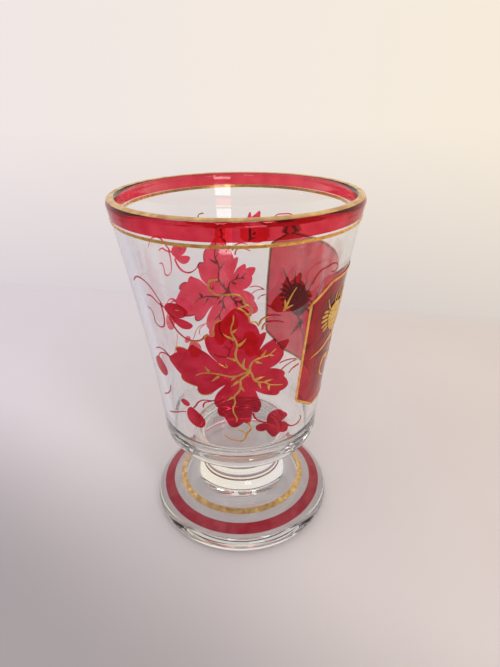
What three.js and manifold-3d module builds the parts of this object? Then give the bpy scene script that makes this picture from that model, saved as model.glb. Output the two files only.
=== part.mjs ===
// Footed grog glass: a thick clear bowl on a short stem and a heavy round foot,
// with ruby-stained vine leaves, a wide ruby panel, and lines of gold.
//
// Millimetres, +Z up. The origin is the middle of the foot's underside, on the
// table. -Y is the front, where the vine leaf is. A turn is an angle about +Z
// from the front towards +X, in degrees.

import * as THREE from "three";
import { mergeVertices } from "three/addons/utils/BufferGeometryUtils.js";
import Module from "manifold-3d";

const wasm = await Module();
wasm.setup();

// Foot: a ground rim stands on the table round a shallow hollow
const footRadius = 34.6;
const footEdgeRadius = 3.4;
const footEdgeHeight = 6.3; // where the crown's slope would reach the foot's edge
const footCrownHeight = 13.1; // where it would reach the stem
const footHollowRadius = 22;
const footHollowDepth = 1.4;
const footShoulderRadius = 31.9; // where the crown starts to round over to the edge
const footSeamRise = 1.5; // the fillet from the crown up to the stem
const footSeamReach = 2.7; // and from the stem out over the crown

// Stem
const stemLength = 14.9;
const stemFootRadius = 17.8;
const stemWaistRadius = 14.6;
const stemTopRadius = 16.5;
const stemWaistShare = 0.6; // how far up the stem its waist is

// Bowl
const bowlSeatRise = 2.5; // from the stem's top to the bowl's underside
const bowlBaseRadius = 28.9;
const bowlCornerRadius = 8;
const wallHeight = 82.9; // from the outer corner to where the lip starts to round
const rimRadius = 40.2;
const wallFlare = 1.3; // above 1, the wall opens more towards the rim
const wallThickness = 3.2;
const floorThickness = 7;
const floorCornerRadius = 6;
const lipRise = 2.6;

// Painted and fired layers, each a thin skin that clears what it lies on
const layerGap = 0.3;
const stainThickness = 0.2;
const goldThickness = 0.25;

// Bands round the rim and the foot
const gildingOuterAngle = 42; // on the lip's rounding, from its outer side
const gildingInnerAngle = 150;
const rubyBandHeight = 3.7; // below the start of the lip's rounding
const rubyBandTopAngle = 32;
const goldLineDrop = 0.7; // clear glass between the ruby band and the gold line
const goldLineWidth = 1.2;
const footRubyRadius = 29.8;
const footRubyWidth = 3.8;
const footGoldWidth = 2;
const footRingSpacing = 3; // clear glass between the foot's two rings

// Decoration: a wide panel on the right, and the same sprays on both sides of it,
// mirrored. A share is in hundredths of the wall from its corner to the gold line.
const lineWidth = 0.8;
const veinWidth = 1;
const tipWidth = 0.35;
const veinRootRadius = 0.9; // of the dot of gold that the main veins leave from
const panelEdgeAngle = 35.7; // the turn to the panel's left edge
const panelHalfAngle = 60.5; // across half of it
const panelBottomShare = 19.5;
const panelTopShare = 80.9;
const panelBottomCutAngle = 17.3; // of each cut corner, across
const panelBottomCutShare = 8.1; // and up
const panelTopCutAngle = 13;
const panelTopCutShare = 6.7;
const borderWidth = 1.1;
const leftFlowerRadius = 6;
const rightFlowerRadius = 7;
const rayLength = 3; // of a flower's ray, out from its round head
const rayWidth = 1.5;
const flowerRays = 8;
const raylessAngle = 150; // of the head, where the stalk leaves it

// Facets
const segments = 42;
const stemRows = 5;
const wallRows = 4;
const lipSteps = 6;
const cornerSteps = 3;
const footEdgeSteps = 2;
const gildingStepAngle = 36;
const veinRootCorners = 7;
const flowerHeadCorners = 8;
const panelOverlapAngle = 2; // how far the panel's halves pass its middle

const rad = THREE.MathUtils.degToRad;
const lerp = THREE.MathUtils.lerp;

// Heights that follow from the sizes above
const stemFootHeight = footCrownHeight + footSeamRise;
const stemTopHeight = stemFootHeight + stemLength;
const bowlUnderside = stemTopHeight + bowlSeatRise;
const wallStart = bowlUnderside + bowlCornerRadius;
const lipStart = wallStart + wallHeight;
const floorHeight = bowlUnderside + floorThickness;
const rubyBandBottom = lipStart - rubyBandHeight;
const goldLineTop = rubyBandBottom - goldLineDrop;
const goldLineBottom = goldLineTop - goldLineWidth;

// The sprays are mirrored about the panel's middle
const panelMiddleAngle = panelEdgeAngle + panelHalfAngle;

const footGoldRadius = footRubyRadius - (footRubyWidth + footGoldWidth) / 2 - footRingSpacing;
const gildingSteps = Math.ceil((gildingInnerAngle - gildingOuterAngle) / gildingStepAngle);

const clearGlass = new THREE.MeshStandardMaterial({
  color: 0xe4ebe6,
  roughness: 0.04,
  metalness: 0,
  transparent: true,
  opacity: 0.4,
});
const rubyStain = new THREE.MeshStandardMaterial({ color: 0xb3152f, roughness: 0.12, metalness: 0 });
const gilding = new THREE.MeshStandardMaterial({ color: 0xc8942f, roughness: 0.32, metalness: 1 });

const group = new THREE.Group();
group.name = "grog_glass";

function addPiece(name, geometry, material) {
  const mesh = new THREE.Mesh(geometry, material.clone());
  mesh.name = name;
  group.add(mesh);
}

// Turned forms

// Revolves a profile of [radius, height] points, listed counter-clockwise.
function revolve(profile) {
  const points = profile.map(([radius, height]) => new THREE.Vector2(radius, height));
  return new THREE.LatheGeometry(points, segments).rotateX(Math.PI / 2);
}

// Points on an ellipse from one angle to another, 0 degrees pointing outwards.
function arc(centre, radii, from, to, steps) {
  return Array.from({ length: steps + 1 }, (_, i) => {
    const angle = rad(lerp(from, to, i / steps));
    return [centre[0] + radii[0] * Math.cos(angle), centre[1] + radii[1] * Math.sin(angle)];
  });
}

// Points on a curve that leaves start and reaches end along the lines to corner.
function bend(start, corner, end, steps) {
  const curve = new THREE.QuadraticBezierCurve(
    new THREE.Vector2(...start),
    new THREE.Vector2(...corner),
    new THREE.Vector2(...end),
  );
  return curve.getPoints(steps).map((point) => point.toArray());
}

// Height of the crown's sloping top, with a skin's distance off it.
function crownHeight(radius, offset = 0) {
  const slope = (footCrownHeight - footEdgeHeight) / (footRadius - stemFootRadius);
  return footEdgeHeight + (footRadius - radius) * slope + offset * Math.hypot(1, slope);
}

// The foot's underside is flat from its hollow to the start of its rounded edge.
function footProfile() {
  const edgeStart = footRadius - footEdgeRadius;
  const seamStart = stemFootRadius + footSeamReach;
  return [
    ...arc([0, 0], [footHollowRadius, footHollowDepth], 90, 0, footEdgeSteps),
    ...arc([edgeStart, footEdgeRadius], [footEdgeRadius, footEdgeRadius], -90, 0, footEdgeSteps),
    ...bend(
      [footRadius, footEdgeRadius],
      [footRadius, crownHeight(footRadius)],
      [footShoulderRadius, crownHeight(footShoulderRadius)],
      cornerSteps,
    ).slice(1),
    ...bend(
      [seamStart, crownHeight(seamStart)],
      [stemFootRadius, crownHeight(stemFootRadius)],
      [stemFootRadius, stemFootHeight],
      cornerSteps,
    ),
    [0, stemFootHeight],
  ];
}

// The stem narrows from the foot to its waist and widens again under the bowl.
function stemProfile() {
  const waist = lerp(stemFootHeight, stemTopHeight, stemWaistShare);
  const side = Array.from({ length: stemRows + 1 }, (_, i) => {
    const height = lerp(stemFootHeight, stemTopHeight, i / stemRows);
    const below = height < waist;
    const end = below ? stemFootHeight : stemTopHeight;
    const radius = below ? stemFootRadius : stemTopRadius;
    return [lerp(stemWaistRadius, radius, ((height - waist) / (end - waist)) ** 2), height];
  });
  return [[0, stemFootHeight], ...side, [0, stemTopHeight]];
}

const wallHeights = Array.from({ length: wallRows + 1 }, (_, i) =>
  lerp(wallStart, lipStart, i / wallRows),
);

// Outer radius of the bowl's wall, which flares gently towards the rim. It runs
// straight from row to row, so that every skin on the wall lies parallel to it.
function wallRadius(height) {
  const share = THREE.MathUtils.clamp((height - wallStart) / wallHeight, 0, 1) * wallRows;
  const row = Math.min(Math.floor(share), wallRows - 1);
  const flare = (i) => lerp(bowlBaseRadius, rimRadius, (i / wallRows) ** wallFlare);
  return lerp(flare(row), flare(row + 1), share - row);
}

// A run round the lip, from one angle to another, with a skin's distance off it.
function lipArc(from, to, steps, offset = 0) {
  const half = wallThickness / 2;
  return arc([rimRadius - half, lipStart], [half + offset, lipRise + offset], from, to, steps);
}

function bowlProfile() {
  const cornerCentre = [bowlBaseRadius - bowlCornerRadius, wallStart];
  const floorCornerTop = floorHeight + floorCornerRadius;
  const innerRadius = (height) => wallRadius(height) - wallThickness;
  const innerWall = wallHeights.filter((height) => height > floorCornerTop && height < lipStart);
  const floorCentre = [innerRadius(floorCornerTop) - floorCornerRadius, floorCornerTop];
  return [
    [0, stemTopHeight],
    ...bend(
      [stemTopRadius, stemTopHeight],
      [stemTopRadius, bowlUnderside],
      [cornerCentre[0], bowlUnderside],
      cornerSteps,
    ),
    ...arc(cornerCentre, [bowlCornerRadius, bowlCornerRadius], -90, 0, cornerSteps).slice(1),
    ...wallHeights.slice(1, -1).map((height) => [wallRadius(height), height]),
    ...lipArc(0, 180, lipSteps),
    ...innerWall.reverse().map((height) => [innerRadius(height), height]),
    ...arc(floorCentre, [floorCornerRadius, floorCornerRadius], 0, -90, cornerSteps),
    [0, floorHeight],
  ];
}

addPiece("foot", revolve(footProfile()), clearGlass);
addPiece("stem", revolve(stemProfile()), clearGlass);
addPiece("bowl", revolve(bowlProfile()), clearGlass);

// Bands

// A closed ring between two runs of points, the outer one listed first.
function ringBetween(outer, inner) {
  return revolve([...outer, ...inner.slice().reverse(), outer[0]]);
}

function wallBandRun(bottom, top, offset) {
  return [bottom, top].map((height) => [wallRadius(height) + offset, height]);
}

function footRing(radius, width, thickness) {
  const run = (offset) =>
    [radius + width / 2, radius - width / 2].map((r) => [r, crownHeight(r, offset)]);
  return ringBetween(run(layerGap + thickness), run(layerGap));
}

const rubyBandRun = (offset) => [
  [wallRadius(rubyBandBottom) + offset, rubyBandBottom],
  ...lipArc(0, rubyBandTopAngle, 1, offset),
];
const gildingRun = (offset) => lipArc(gildingOuterAngle, gildingInnerAngle, gildingSteps, offset);

addPiece(
  "rim_gilding",
  ringBetween(gildingRun(layerGap + goldThickness), gildingRun(layerGap)),
  gilding,
);
addPiece(
  "rim_ruby_band",
  ringBetween(rubyBandRun(layerGap + stainThickness), rubyBandRun(layerGap)),
  rubyStain,
);
addPiece(
  "rim_gold_line",
  ringBetween(
    wallBandRun(goldLineBottom, goldLineTop, layerGap + goldThickness),
    wallBandRun(goldLineBottom, goldLineTop, layerGap),
  ),
  gilding,
);
addPiece("foot_ruby_ring", footRing(footRubyRadius, footRubyWidth, stainThickness), rubyStain);
addPiece("foot_gold_ring", footRing(footGoldRadius, footGoldWidth, goldThickness), gilding);

// Skins on the wall, drawn as shapes on the unrolled wall. A broad one is swept
// radially through the wall as a prism and kept where it meets a thin shell round
// the bowl. A narrow line is joined flat and then bent round the bowl.

// The prism's sides stand square to the wall near it, and its ends lie so far off
// that their flat facets miss the shell.
const prismSpread = 1.5;
const prismNearReach = 2;

function solidFrom(geometry) {
  const bare = geometry.clone();
  bare.deleteAttribute("normal");
  bare.deleteAttribute("uv");
  const merged = mergeVertices(bare);
  return new wasm.Manifold(
    new wasm.Mesh({
      numProp: 3,
      vertProperties: new Float32Array(merged.attributes.position.array),
      triVerts: new Uint32Array(merged.index.array),
    }),
  );
}

function geometryFrom(solid) {
  const { vertProperties, triVerts } = solid.getMesh();
  const geometry = new THREE.BufferGeometry();
  geometry.setAttribute("position", new THREE.BufferAttribute(vertProperties, 3));
  geometry.setIndex(new THREE.BufferAttribute(triVerts, 1));
  return geometry;
}

// Bends a geometry drawn on the unrolled wall, with its depth turned into a radius.
function bendRound(geometry, radiusAt) {
  const position = geometry.attributes.position;
  for (let i = 0; i < position.count; i += 1) {
    const height = position.getY(i);
    const angle = position.getX(i) / wallRadius(height);
    const radius = radiusAt(height, position.getZ(i));
    position.setXYZ(i, radius * Math.sin(angle), -radius * Math.cos(angle), height);
  }
  geometry.computeVertexNormals();
  return geometry;
}

function flatPiece(shape, depth, steps = 1) {
  return new THREE.ExtrudeGeometry(shape, { depth, steps, bevelEnabled: false, curveSegments: 1 });
}

const joined = (solids) => solids.reduce((sum, next) => sum.add(next));

// Stain lies on the glass, and gold on the glass or over the stain.
const stain = { gap: layerGap, thickness: stainThickness, material: rubyStain };
const gold = { gap: layerGap * 2 + stainThickness, thickness: goldThickness, material: gilding };

function broadSkin(layer, shapes) {
  const run = (offset) => wallHeights.map((height) => [wallRadius(height) + offset, height]);
  const shell = solidFrom(ringBetween(run(layer.gap + layer.thickness), run(layer.gap)));
  const radii = (height) => [
    bowlBaseRadius / prismSpread,
    wallRadius(height) - prismNearReach,
    wallRadius(height) + prismNearReach,
    rimRadius * prismSpread,
  ];
  const sweep = radii(0).length - 1;
  const prisms = shapes.map((shape) => {
    const flat = flatPiece(shape, sweep, sweep);
    return solidFrom(bendRound(flat, (height, depth) => radii(height)[Math.round(depth)]));
  });
  return geometryFrom(shell.intersect(joined(prisms)));
}

function narrowSkin(layer, shapes) {
  const flat = joined(shapes.map((shape) => solidFrom(flatPiece(shape, layer.thickness))));
  return bendRound(geometryFrom(flat), (height, depth) => wallRadius(height) + layer.gap + depth);
}

// A place on the unrolled wall from its turn and its share of the height.
function onWall([turn, share], mirrored = false) {
  const height = lerp(wallStart, goldLineBottom, share / 100);
  const placed = mirrored ? 2 * panelMiddleAngle - turn : turn;
  return new THREE.Vector2(rad(placed) * wallRadius(height), height);
}

function blot(outline, mirrored) {
  return new THREE.Shape(outline.map((place) => onWall(place, mirrored)));
}

// A brush line through points of the unrolled wall, from one width to another.
function brushLine(points, startWidth = lineWidth, endWidth = startWidth) {
  const curve = new THREE.SplineCurve(points);
  const steps = points.length - 1;
  const left = [];
  const right = [];
  for (let i = 0; i <= steps; i += 1) {
    const middle = curve.getPoint(i / steps);
    const along = curve.getTangent(i / steps);
    const half = lerp(startWidth, endWidth, i / steps) / 2;
    const aside = new THREE.Vector2(-along.y, along.x).multiplyScalar(half);
    left.push(middle.clone().add(aside));
    right.push(middle.clone().sub(aside));
  }
  return new THREE.Shape([...left, ...right.reverse()]);
}

// Vine leaf: five lobes, each listed from the notch before it, clockwise
const vineLeaf = {
  top: [
    [-7.5, 50.7], [-15, 56.5], [-16.6, 61.6], [-15, 65.5], [-12, 65.5], [-11.5, 69.3], [-7.5, 72.5],
    [-4.5, 75.7], [0, 77.7], [4, 76.1], [5.5, 71.2], [7.5, 70], [9.5, 65.5], [12.5, 66.1], [11, 61],
  ],
  upperRight: [
    [7.5, 56.5], [12, 60.3], [17.5, 62.9], [18, 60.3], [25, 61], [22.5, 56.5], [23, 53.9], [21, 51.3],
  ],
  lowerRight: [
    [15.5, 48.8], [20, 48.1], [25, 44.9], [24.5, 43.6], [28, 38.5], [27, 37.2], [23, 35.9],
    [20, 34.4], [13, 36.6],
  ],
  bottom: [
    [8.5, 38.5], [12, 31.5], [10, 27], [7, 27.6], [6.5, 23.1], [4.5, 21.2], [2, 21.8], [-2.5, 19.5],
    [-7, 20.2], [-10, 25], [-13, 25.7], [-13.5, 29.5], [-15.5, 32.1], [-12.5, 37.9],
  ],
  left: [
    [-8, 41.7], [-15, 37.7], [-22.5, 35.4], [-24.5, 39.3], [-33.5, 40.6], [-34.5, 43], [-41.5, 49.4],
    [-34, 54.4], [-34.5, 56.5], [-27, 57.1], [-24, 59.7], [-16.5, 56.6],
  ],
};

// Gold veins: one line to each lobe from the stalk's place, and thorny side lines
const veinRoot = [5.5, 48.8];
const mainVeins = [
  [[2, 50.7], [-1, 53.5], [-2, 56.5], [-1.1, 61], [-2, 64.2], [-3.7, 66.8], [-3.5, 70], [-2.4, 74.8]],
  [[5, 51.3], [7, 53.5], [11, 55.1], [14.6, 55.7], [18, 58.2]],
  [[7.6, 44.3], [10, 43], [13.2, 42.5], [16, 40.9], [24.5, 39.3]],
  [[0.2, 44.7], [0.2, 41.5], [-3.4, 36.3], [-3.1, 32.7], [-4.4, 29.9], [-2.3, 24]],
  [[2, 47.9], [-2.5, 46.5], [-10.5, 46.9], [-15.5, 47.5], [-24.5, 44.7]],
];
const sideVeins = [
  [[-1.1, 61], [3.3, 64.6]],
  [[-2, 64.2], [-7.6, 66.6]],
  [[-1, 53.5], [-6.9, 55.6]],
  [[11, 55.1], [13.2, 58.3]],
  [[7.6, 44.3], [13.2, 45.4]],
  [[0.2, 44.7], [-5.1, 41.1]],
  [[-3.4, 36.3], [-7.9, 33.8]],
  [[-15.5, 47.5], [-18.4, 50.3]],
  [[-10.5, 46.9], [-15.6, 43]],
];

// Small three-lobed leaf between the vine leaf and the panel, and its vein
const budLeaf = [
  [20.5, 74.5], [16.5, 75.1], [14, 77.3], [15.5, 80.2], [18.5, 82.5], [19, 86], [20.5, 88.6], [21.5, 86.4],
  [24, 87.3], [26.5, 89.2], [27.2, 86], [29.5, 84.1], [30, 81.9], [33, 80.9], [35, 78.3],
  [32.5, 75.7], [27, 73.9],
];
const budStalk = [[12, 78.3], [14, 77.3], [17, 77.7]];
const budVeins = [
  [[20.5, 75.2], [22, 77.9], [23.7, 80.9], [25.5, 83.7]],
  [[21.2, 76.3], [20.4, 79.6]],
  [[21.2, 76], [25, 76.8]],
];

// Pair of leaves on a curved stalk, left of the vine leaf
const twinUpper = [
  [-36.5, 73.9], [-34.5, 76.3], [-31, 77], [-26.5, 76.4], [-23.4, 73.9], [-25.5, 71.8],
  [-30, 70.6], [-34, 71],
];
const twinLower = [
  [-35, 72.1], [-30, 71.1], [-25, 70.5], [-21.8, 68.8], [-23.5, 67], [-27.5, 66.5], [-31, 68],
];
const twinStalk = [[-34.3, 71.1], [-32, 65.7], [-29, 63.2], [-25.5, 61.9], [-21.3, 61.9], [-18.3, 62.6]];

// Curls and sprays
const curls = [
  [[-58, 80.2], [-53, 83.2], [-48, 83.4], [-43, 81.5], [-39.5, 77.7], [-38.2, 75.6]],
  [[-47.5, 76.8], [-44, 77.4], [-41, 76.1], [-38.2, 75.4]],
  [[-38.6, 75.9], [-38.2, 69.3], [-40, 65], [-43, 64.1], [-46, 65.7], [-46.2, 68.7],
  [-48, 71], [-50.3, 70.3]],
];
const sideLeaf = [[-52, 47.8], [-48.5, 44.9], [-46, 41.1], [-49, 38], [-53, 38], [-57, 40.4], [-57, 44.3]];
const sideStalks = [
  [[-42.7, 49.9], [-46, 50.7], [-50, 48.9], [-52.3, 46.2]],
  [[-42.7, 50.1], [-45, 51.9], [-48, 52.5], [-53, 50.8]],
];
const lowSpray = [[-58, 25.3], [-52, 27.6], [-48, 30.8], [-46.5, 34]];
const lowerLeftLeaf = [
  [-31.5, 26.8], [-27, 24.9], [-23, 21.7], [-22.7, 18.7], [-26, 16.2], [-31, 16.3],
  [-35.8, 20.5], [-34.3, 24.9],
];
const lowerLeftBud = [[-39, 28], [-37, 29.7], [-34, 29.5], [-31, 27], [-32, 24.4], [-37, 26.2]];
const lowerLeftStalks = [
  [[-30.5, 25], [-28, 28], [-22, 32.3], [-17.6, 33]],
  [[-22.7, 28.1], [-21.3, 31.1], [-17.6, 32.7]],
  [[-55, 16], [-50, 17.7], [-33.5, 22.2]],
];
const lowerRightLeaf = [
  [16.4, 19.8], [16.1, 23], [20.2, 26.2], [25.5, 25.4], [30.4, 21.2], [25.8, 18.7], [31.8, 15.5],
  [31.4, 12.1], [25.8, 12.8], [21.6, 10.9], [16, 16], [12.5, 15.8], [9.3, 17.3], [9.6, 19.5], [13.2, 20.3],
];
const lowerRightStalks = [
  [[8.5, 25.2], [9.6, 23.1], [11.8, 21.7], [18, 19.5]],
  [[30.5, 15.4], [34.2, 13.9], [38.4, 13.1], [43.4, 15.4], [42, 17.2]],
];
const bottomCurl = [
  [[4.6, 22.1], [5.4, 20], [6, 18.2], [4.4, 16.3], [1.9, 16.2], [-0.2, 17.7], [-2.4, 17.3]],
  [[4.4, 16.4], [3.3, 14.9], [2.5, 13], [0.5, 11.6], [-4.4, 12.1], [-8.6, 13.4], [-10.4, 14.8]],
];
const topTendril = [
  [[-8, 88.6], [-11.4, 88.2], [-12, 85.4], [-9.5, 83.1], [-2, 83.2], [0.5, 82.5], [2, 80.9], [2.6, 78.4]],
  [[0.5, 78], [2.4, 78.6], [4.6, 78.3], [5.8, 76.5], [4.4, 75], [2.6, 75.6]],
  [[-1, 77.4], [3, 75.5], [5.2, 71.4], [7, 71.6], [9, 69.3]],
];

// Fine lines between the vine leaf and the panel, placed across in hundredths of
// the way from the leaf's right lobe to the panel's edge
const [rightLobeTurn] = vineLeaf.lowerRight[2];
const hairLines = [
  [[-41, 49.6], [-12, 51.1], [27, 51.2], [77, 49.6]],
  [[-11, 47.4], [19, 49.2], [77, 49.7]],
  [[24, 44.3], [47, 46.6], [79, 49.6]],
].map((places) => places.map(([across, share]) =>
  [lerp(rightLobeTurn, panelEdgeAngle, across / 100), share],
));

const springingArcs = [
  [[11.2, 67.9], [11.7, 69.8], [13.5, 70.7], [18, 70.6], [21.5, 69.3]],
  [[11.3, 68.8], [10.6, 71.2], [12.3, 72.9], [15, 73.4], [19.5, 72.5]],
];

// Tendril over the panel's corner, placed up in hundredths of the way from the
// panel's top to the gold line
const cornerTendril = [
  [35.8, 14], [36.4, 27], [38.2, 36], [42, 40], [46, 42], [49.5, 38], [50.6, 29], [48.6, 22], [45.8, 27],
].map(([turn, up]) => [turn, lerp(panelTopShare, 100, up / 100)]);

// Wide panel: an oblong with cut corners, with turns from its middle
const panelCorners = [
  [-panelHalfAngle, panelBottomShare + panelBottomCutShare],
  [panelBottomCutAngle - panelHalfAngle, panelBottomShare],
  [panelHalfAngle - panelBottomCutAngle, panelBottomShare],
  [panelHalfAngle, panelBottomShare + panelBottomCutShare],
  [panelHalfAngle, panelTopShare - panelTopCutShare],
  [panelHalfAngle - panelTopCutAngle, panelTopShare],
  [panelTopCutAngle - panelHalfAngle, panelTopShare],
  [-panelHalfAngle, panelTopShare - panelTopCutShare],
].map(([turn, share]) => [panelMiddleAngle + turn, share]);

// Moves each side of a convex outline inwards by the same distance.
function inset(points, distance) {
  const outline = new THREE.Shape(points);
  const side = THREE.ShapeUtils.area(outline.getPoints()) > 0 ? distance : -distance;
  const moved = points.map((from, i) => {
    const along = points[(i + 1) % points.length].clone().sub(from).normalize();
    return { from: from.clone().add(new THREE.Vector2(-along.y, along.x).multiplyScalar(side)), along };
  });
  return moved.map(({ from, along }, i) => {
    const before = moved[(i + moved.length - 1) % moved.length];
    const reach = from.clone().sub(before.from).cross(along) / before.along.cross(along);
    return before.from.clone().addScaledVector(before.along, reach);
  });
}

// Half of the panel's outline, or of the one at a distance inside it. It runs a
// little past the middle, so that both halves overlap, and each is narrow enough
// for a prism.
function halfOutline(mirrored, distance) {
  const corners = inset(panelCorners.map((corner) => onWall(corner, mirrored)), distance);
  const [lowSide, lowCut, , , , , highCut, highSide] = corners;
  const overlap = mirrored ? -panelOverlapAngle : panelOverlapAngle;
  const pastMiddle = ({ y }) => new THREE.Vector2(rad(panelMiddleAngle + overlap) * wallRadius(y), y);
  return [pastMiddle(lowCut), lowCut, lowSide, highSide, highCut, pastMiddle(highCut)];
}

function panelHalf(mirrored) {
  return new THREE.Shape(halfOutline(mirrored, 0));
}

function borderHalf(mirrored) {
  const inner = halfOutline(mirrored, borderWidth).reverse();
  return new THREE.Shape([...halfOutline(mirrored, 0), ...inner]);
}

// Gold flowers on the panel: a round head with rays, a stalk from its middle, and
// leaves that taper from their broad ends, with turns inwards from the panel's
// nearer edge, and placed up in hundredths of its height
const leftFlower = {
  middle: [26.8, 70.7],
  radius: leftFlowerRadius,
  stalk: [[32.3, 49.7], [39.3, 30.1], [50.3, 10.6]],
  leaves: [
    { width: 3, places: [[33.3, 52.9], [24.3, 52.1], [14.8, 47.2], [6.8, 44.8]] },
    { width: 3.4, places: [[41.3, 28.5], [30.3, 22], [23.3, 30.1], [25.3, 40.7]] },
  ],
};
const rightFlower = {
  middle: [26.7, 47.7],
  radius: rightFlowerRadius,
  stalk: [[37.7, 22], [48.7, 9]],
  leaves: [
    { width: 3.2, places: [[39.7, 20], [46.2, 42], [51.2, 62], [54.7, 82]] },
    { width: 2.6, places: [[34.7, 29], [31.2, 25], [27.7, 20.8], [24.1, 17]] },
  ],
};

// A point of the unrolled wall at an angle and a distance from another.
function pointFrom(centre, angle, distance) {
  return new THREE.Vector2(Math.cos(angle), Math.sin(angle)).multiplyScalar(distance).add(centre);
}

function regularShape(centre, radius, corners) {
  return new THREE.Shape(
    Array.from({ length: corners }, (_, i) => pointFrom(centre, (i * 2 * Math.PI) / corners, radius)),
  );
}

// The rays go round the head from one side of its stalk to the other.
function flowerRayShapes(centre, radius, stalkAngle) {
  return Array.from({ length: flowerRays }, (_, i) => {
    const aside = lerp(raylessAngle / 2, 360 - raylessAngle / 2, i / (flowerRays - 1));
    const angle = stalkAngle + rad(aside);
    const ends = [radius / 2, radius + rayLength].map((reach) => pointFrom(centre, angle, reach));
    return brushLine(ends, rayWidth, tipWidth);
  });
}

function flowerShapes({ middle, radius, stalk, leaves }, mirrored) {
  const at = ([inwards, up]) =>
    onWall([panelEdgeAngle + inwards, lerp(panelBottomShare, panelTopShare, up / 100)], mirrored);
  const centre = at(middle);
  const stalkAngle = at(stalk[0]).sub(centre).angle();
  return [
    regularShape(centre, radius, flowerHeadCorners),
    ...flowerRayShapes(centre, radius, stalkAngle),
    brushLine([centre, ...stalk.map(at)]),
    ...leaves.map(({ width, places }) => brushLine(places.map(at), width, tipWidth)),
  ];
}

addPiece("ruby_panel", broadSkin(stain, [false, true].map(panelHalf)), stain.material);
addPiece("panel_border", broadSkin(gold, [false, true].map(borderHalf)), gold.material);
addPiece("panel_left_flower", broadSkin(gold, flowerShapes(leftFlower, false)), gold.material);
addPiece("panel_right_flower", broadSkin(gold, flowerShapes(rightFlower, true)), gold.material);

for (const side of ["front", "back"]) {
  const mirrored = side === "back";
  const through = (places) => places.map((place) => onWall(place, mirrored));
  const line = (places) => brushLine(through(places));
  const tapering = (places, width) => brushLine(through(places), width, tipWidth);
  const piece = (skin) => (name, layer, shapes) =>
    addPiece(`${side}_${name}`, skin(layer, shapes), layer.material);
  const broad = piece(broadSkin);
  const narrow = piece(narrowSkin);

  broad("vine_leaf", stain, [blot(Object.values(vineLeaf).flat(), mirrored)]);
  narrow("leaf_veins", gold, [
    regularShape(onWall(veinRoot, mirrored), veinRootRadius, veinRootCorners),
    ...mainVeins.map((vein) => tapering([veinRoot, ...vein], veinWidth)),
    ...sideVeins.map((vein) => tapering(vein, lineWidth)),
  ]);
  broad("bud_leaf", stain, [blot(budLeaf, mirrored), line(budStalk)]);
  narrow("bud_leaf_vein", gold, budVeins.map((vein) => tapering(vein, lineWidth)));
  broad("twin_leaves", stain, [blot(twinUpper, mirrored), blot(twinLower, mirrored), line(twinStalk)]);
  narrow("curled_tendril", stain, curls.map(line));
  broad("side_leaf", stain, [blot(sideLeaf, mirrored), ...sideStalks.map(line)]);
  narrow("low_spray", stain, [line(lowSpray)]);
  broad("lower_left_leaves", stain, [
    blot(lowerLeftLeaf, mirrored),
    blot(lowerLeftBud, mirrored),
    ...lowerLeftStalks.map(line),
  ]);
  broad("lower_right_leaf", stain, [blot(lowerRightLeaf, mirrored), ...lowerRightStalks.map(line)]);
  narrow("bottom_curl", gold, bottomCurl.map(line));
  narrow("top_tendril", gold, topTendril.map(line));
  narrow("hair_lines", stain, hairLines.map(line));
  narrow("springing_arcs", stain, springingArcs.map(line));
  narrow("corner_tendril", stain, [line(cornerTendril)]);
}

export default group;
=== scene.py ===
"""Grog glass: a thick clear bowl on a waisted stem and a heavy foot, stained ruby and gilded.

Sizes are in millimetres and are turned to metres where a mesh is made. +Z is up, and the origin is the
middle of the foot's underside. A turn is an angle about +Z from the front, -Y, towards +X, in degrees. A
climb is a height on the bowl's wall above the corner where the wall starts.
"""

import logging
import math
from dataclasses import dataclass
from enum import Enum
from typing import Any

import bpy
import numpy as np
from mathutils import Matrix, Vector
from mathutils.geometry import delaunay_2d_cdt


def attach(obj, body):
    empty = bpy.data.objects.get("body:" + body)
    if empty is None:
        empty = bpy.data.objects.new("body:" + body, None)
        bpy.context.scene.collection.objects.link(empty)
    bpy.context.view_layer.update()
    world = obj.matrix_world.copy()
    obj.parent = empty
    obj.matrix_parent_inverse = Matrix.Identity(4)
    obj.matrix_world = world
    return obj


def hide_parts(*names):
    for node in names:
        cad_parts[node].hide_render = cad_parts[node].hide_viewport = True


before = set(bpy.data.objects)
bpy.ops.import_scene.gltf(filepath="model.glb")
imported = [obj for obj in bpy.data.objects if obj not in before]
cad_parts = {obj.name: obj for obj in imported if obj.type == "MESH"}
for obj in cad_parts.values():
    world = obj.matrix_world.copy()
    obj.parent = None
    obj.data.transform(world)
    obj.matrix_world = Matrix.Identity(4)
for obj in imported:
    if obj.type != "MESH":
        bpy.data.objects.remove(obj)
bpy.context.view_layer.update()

MM = 0.001
BODY = "root"
CREASE = 40.0  # degrees: a sharper edge than this is shaded as a crease
TOUCHING = 1e-5  # points nearer than this are one
PATCH_LOW, PATCH_HIGH = 0.35, 0.65  # a noise's values from one of its colours to the other
DOT_EDGE, DOT_FADE = 0.22, 0.32  # a stippled dot's edge and where it has faded out, in dot spacings
LOG = logging.getLogger("grog_glass")

Places = tuple[tuple[float, float], ...]
Colour = tuple[float, float, float, float]


class Slot(Enum):
    """The record's material slots."""

    GLASS = "clear_glass"
    RUBY = "ruby_stain"
    GOLD = "gilding"


class Finish(Enum):
    """The finishes fired on the glass."""

    STAIN = "stain"
    PANEL = "panel_stain"
    BAND = "band_stain"
    FOOT = "foot_stain"
    FOOT_GOLD = "foot_gold"
    GOLD = "gold"
    STIPPLED = "stippled_gold"
    RIM = "rim_gold"


class Side(Enum):
    """The two sprays, which mirror each other."""

    FRONT = "front"
    BACK = "back"


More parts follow.
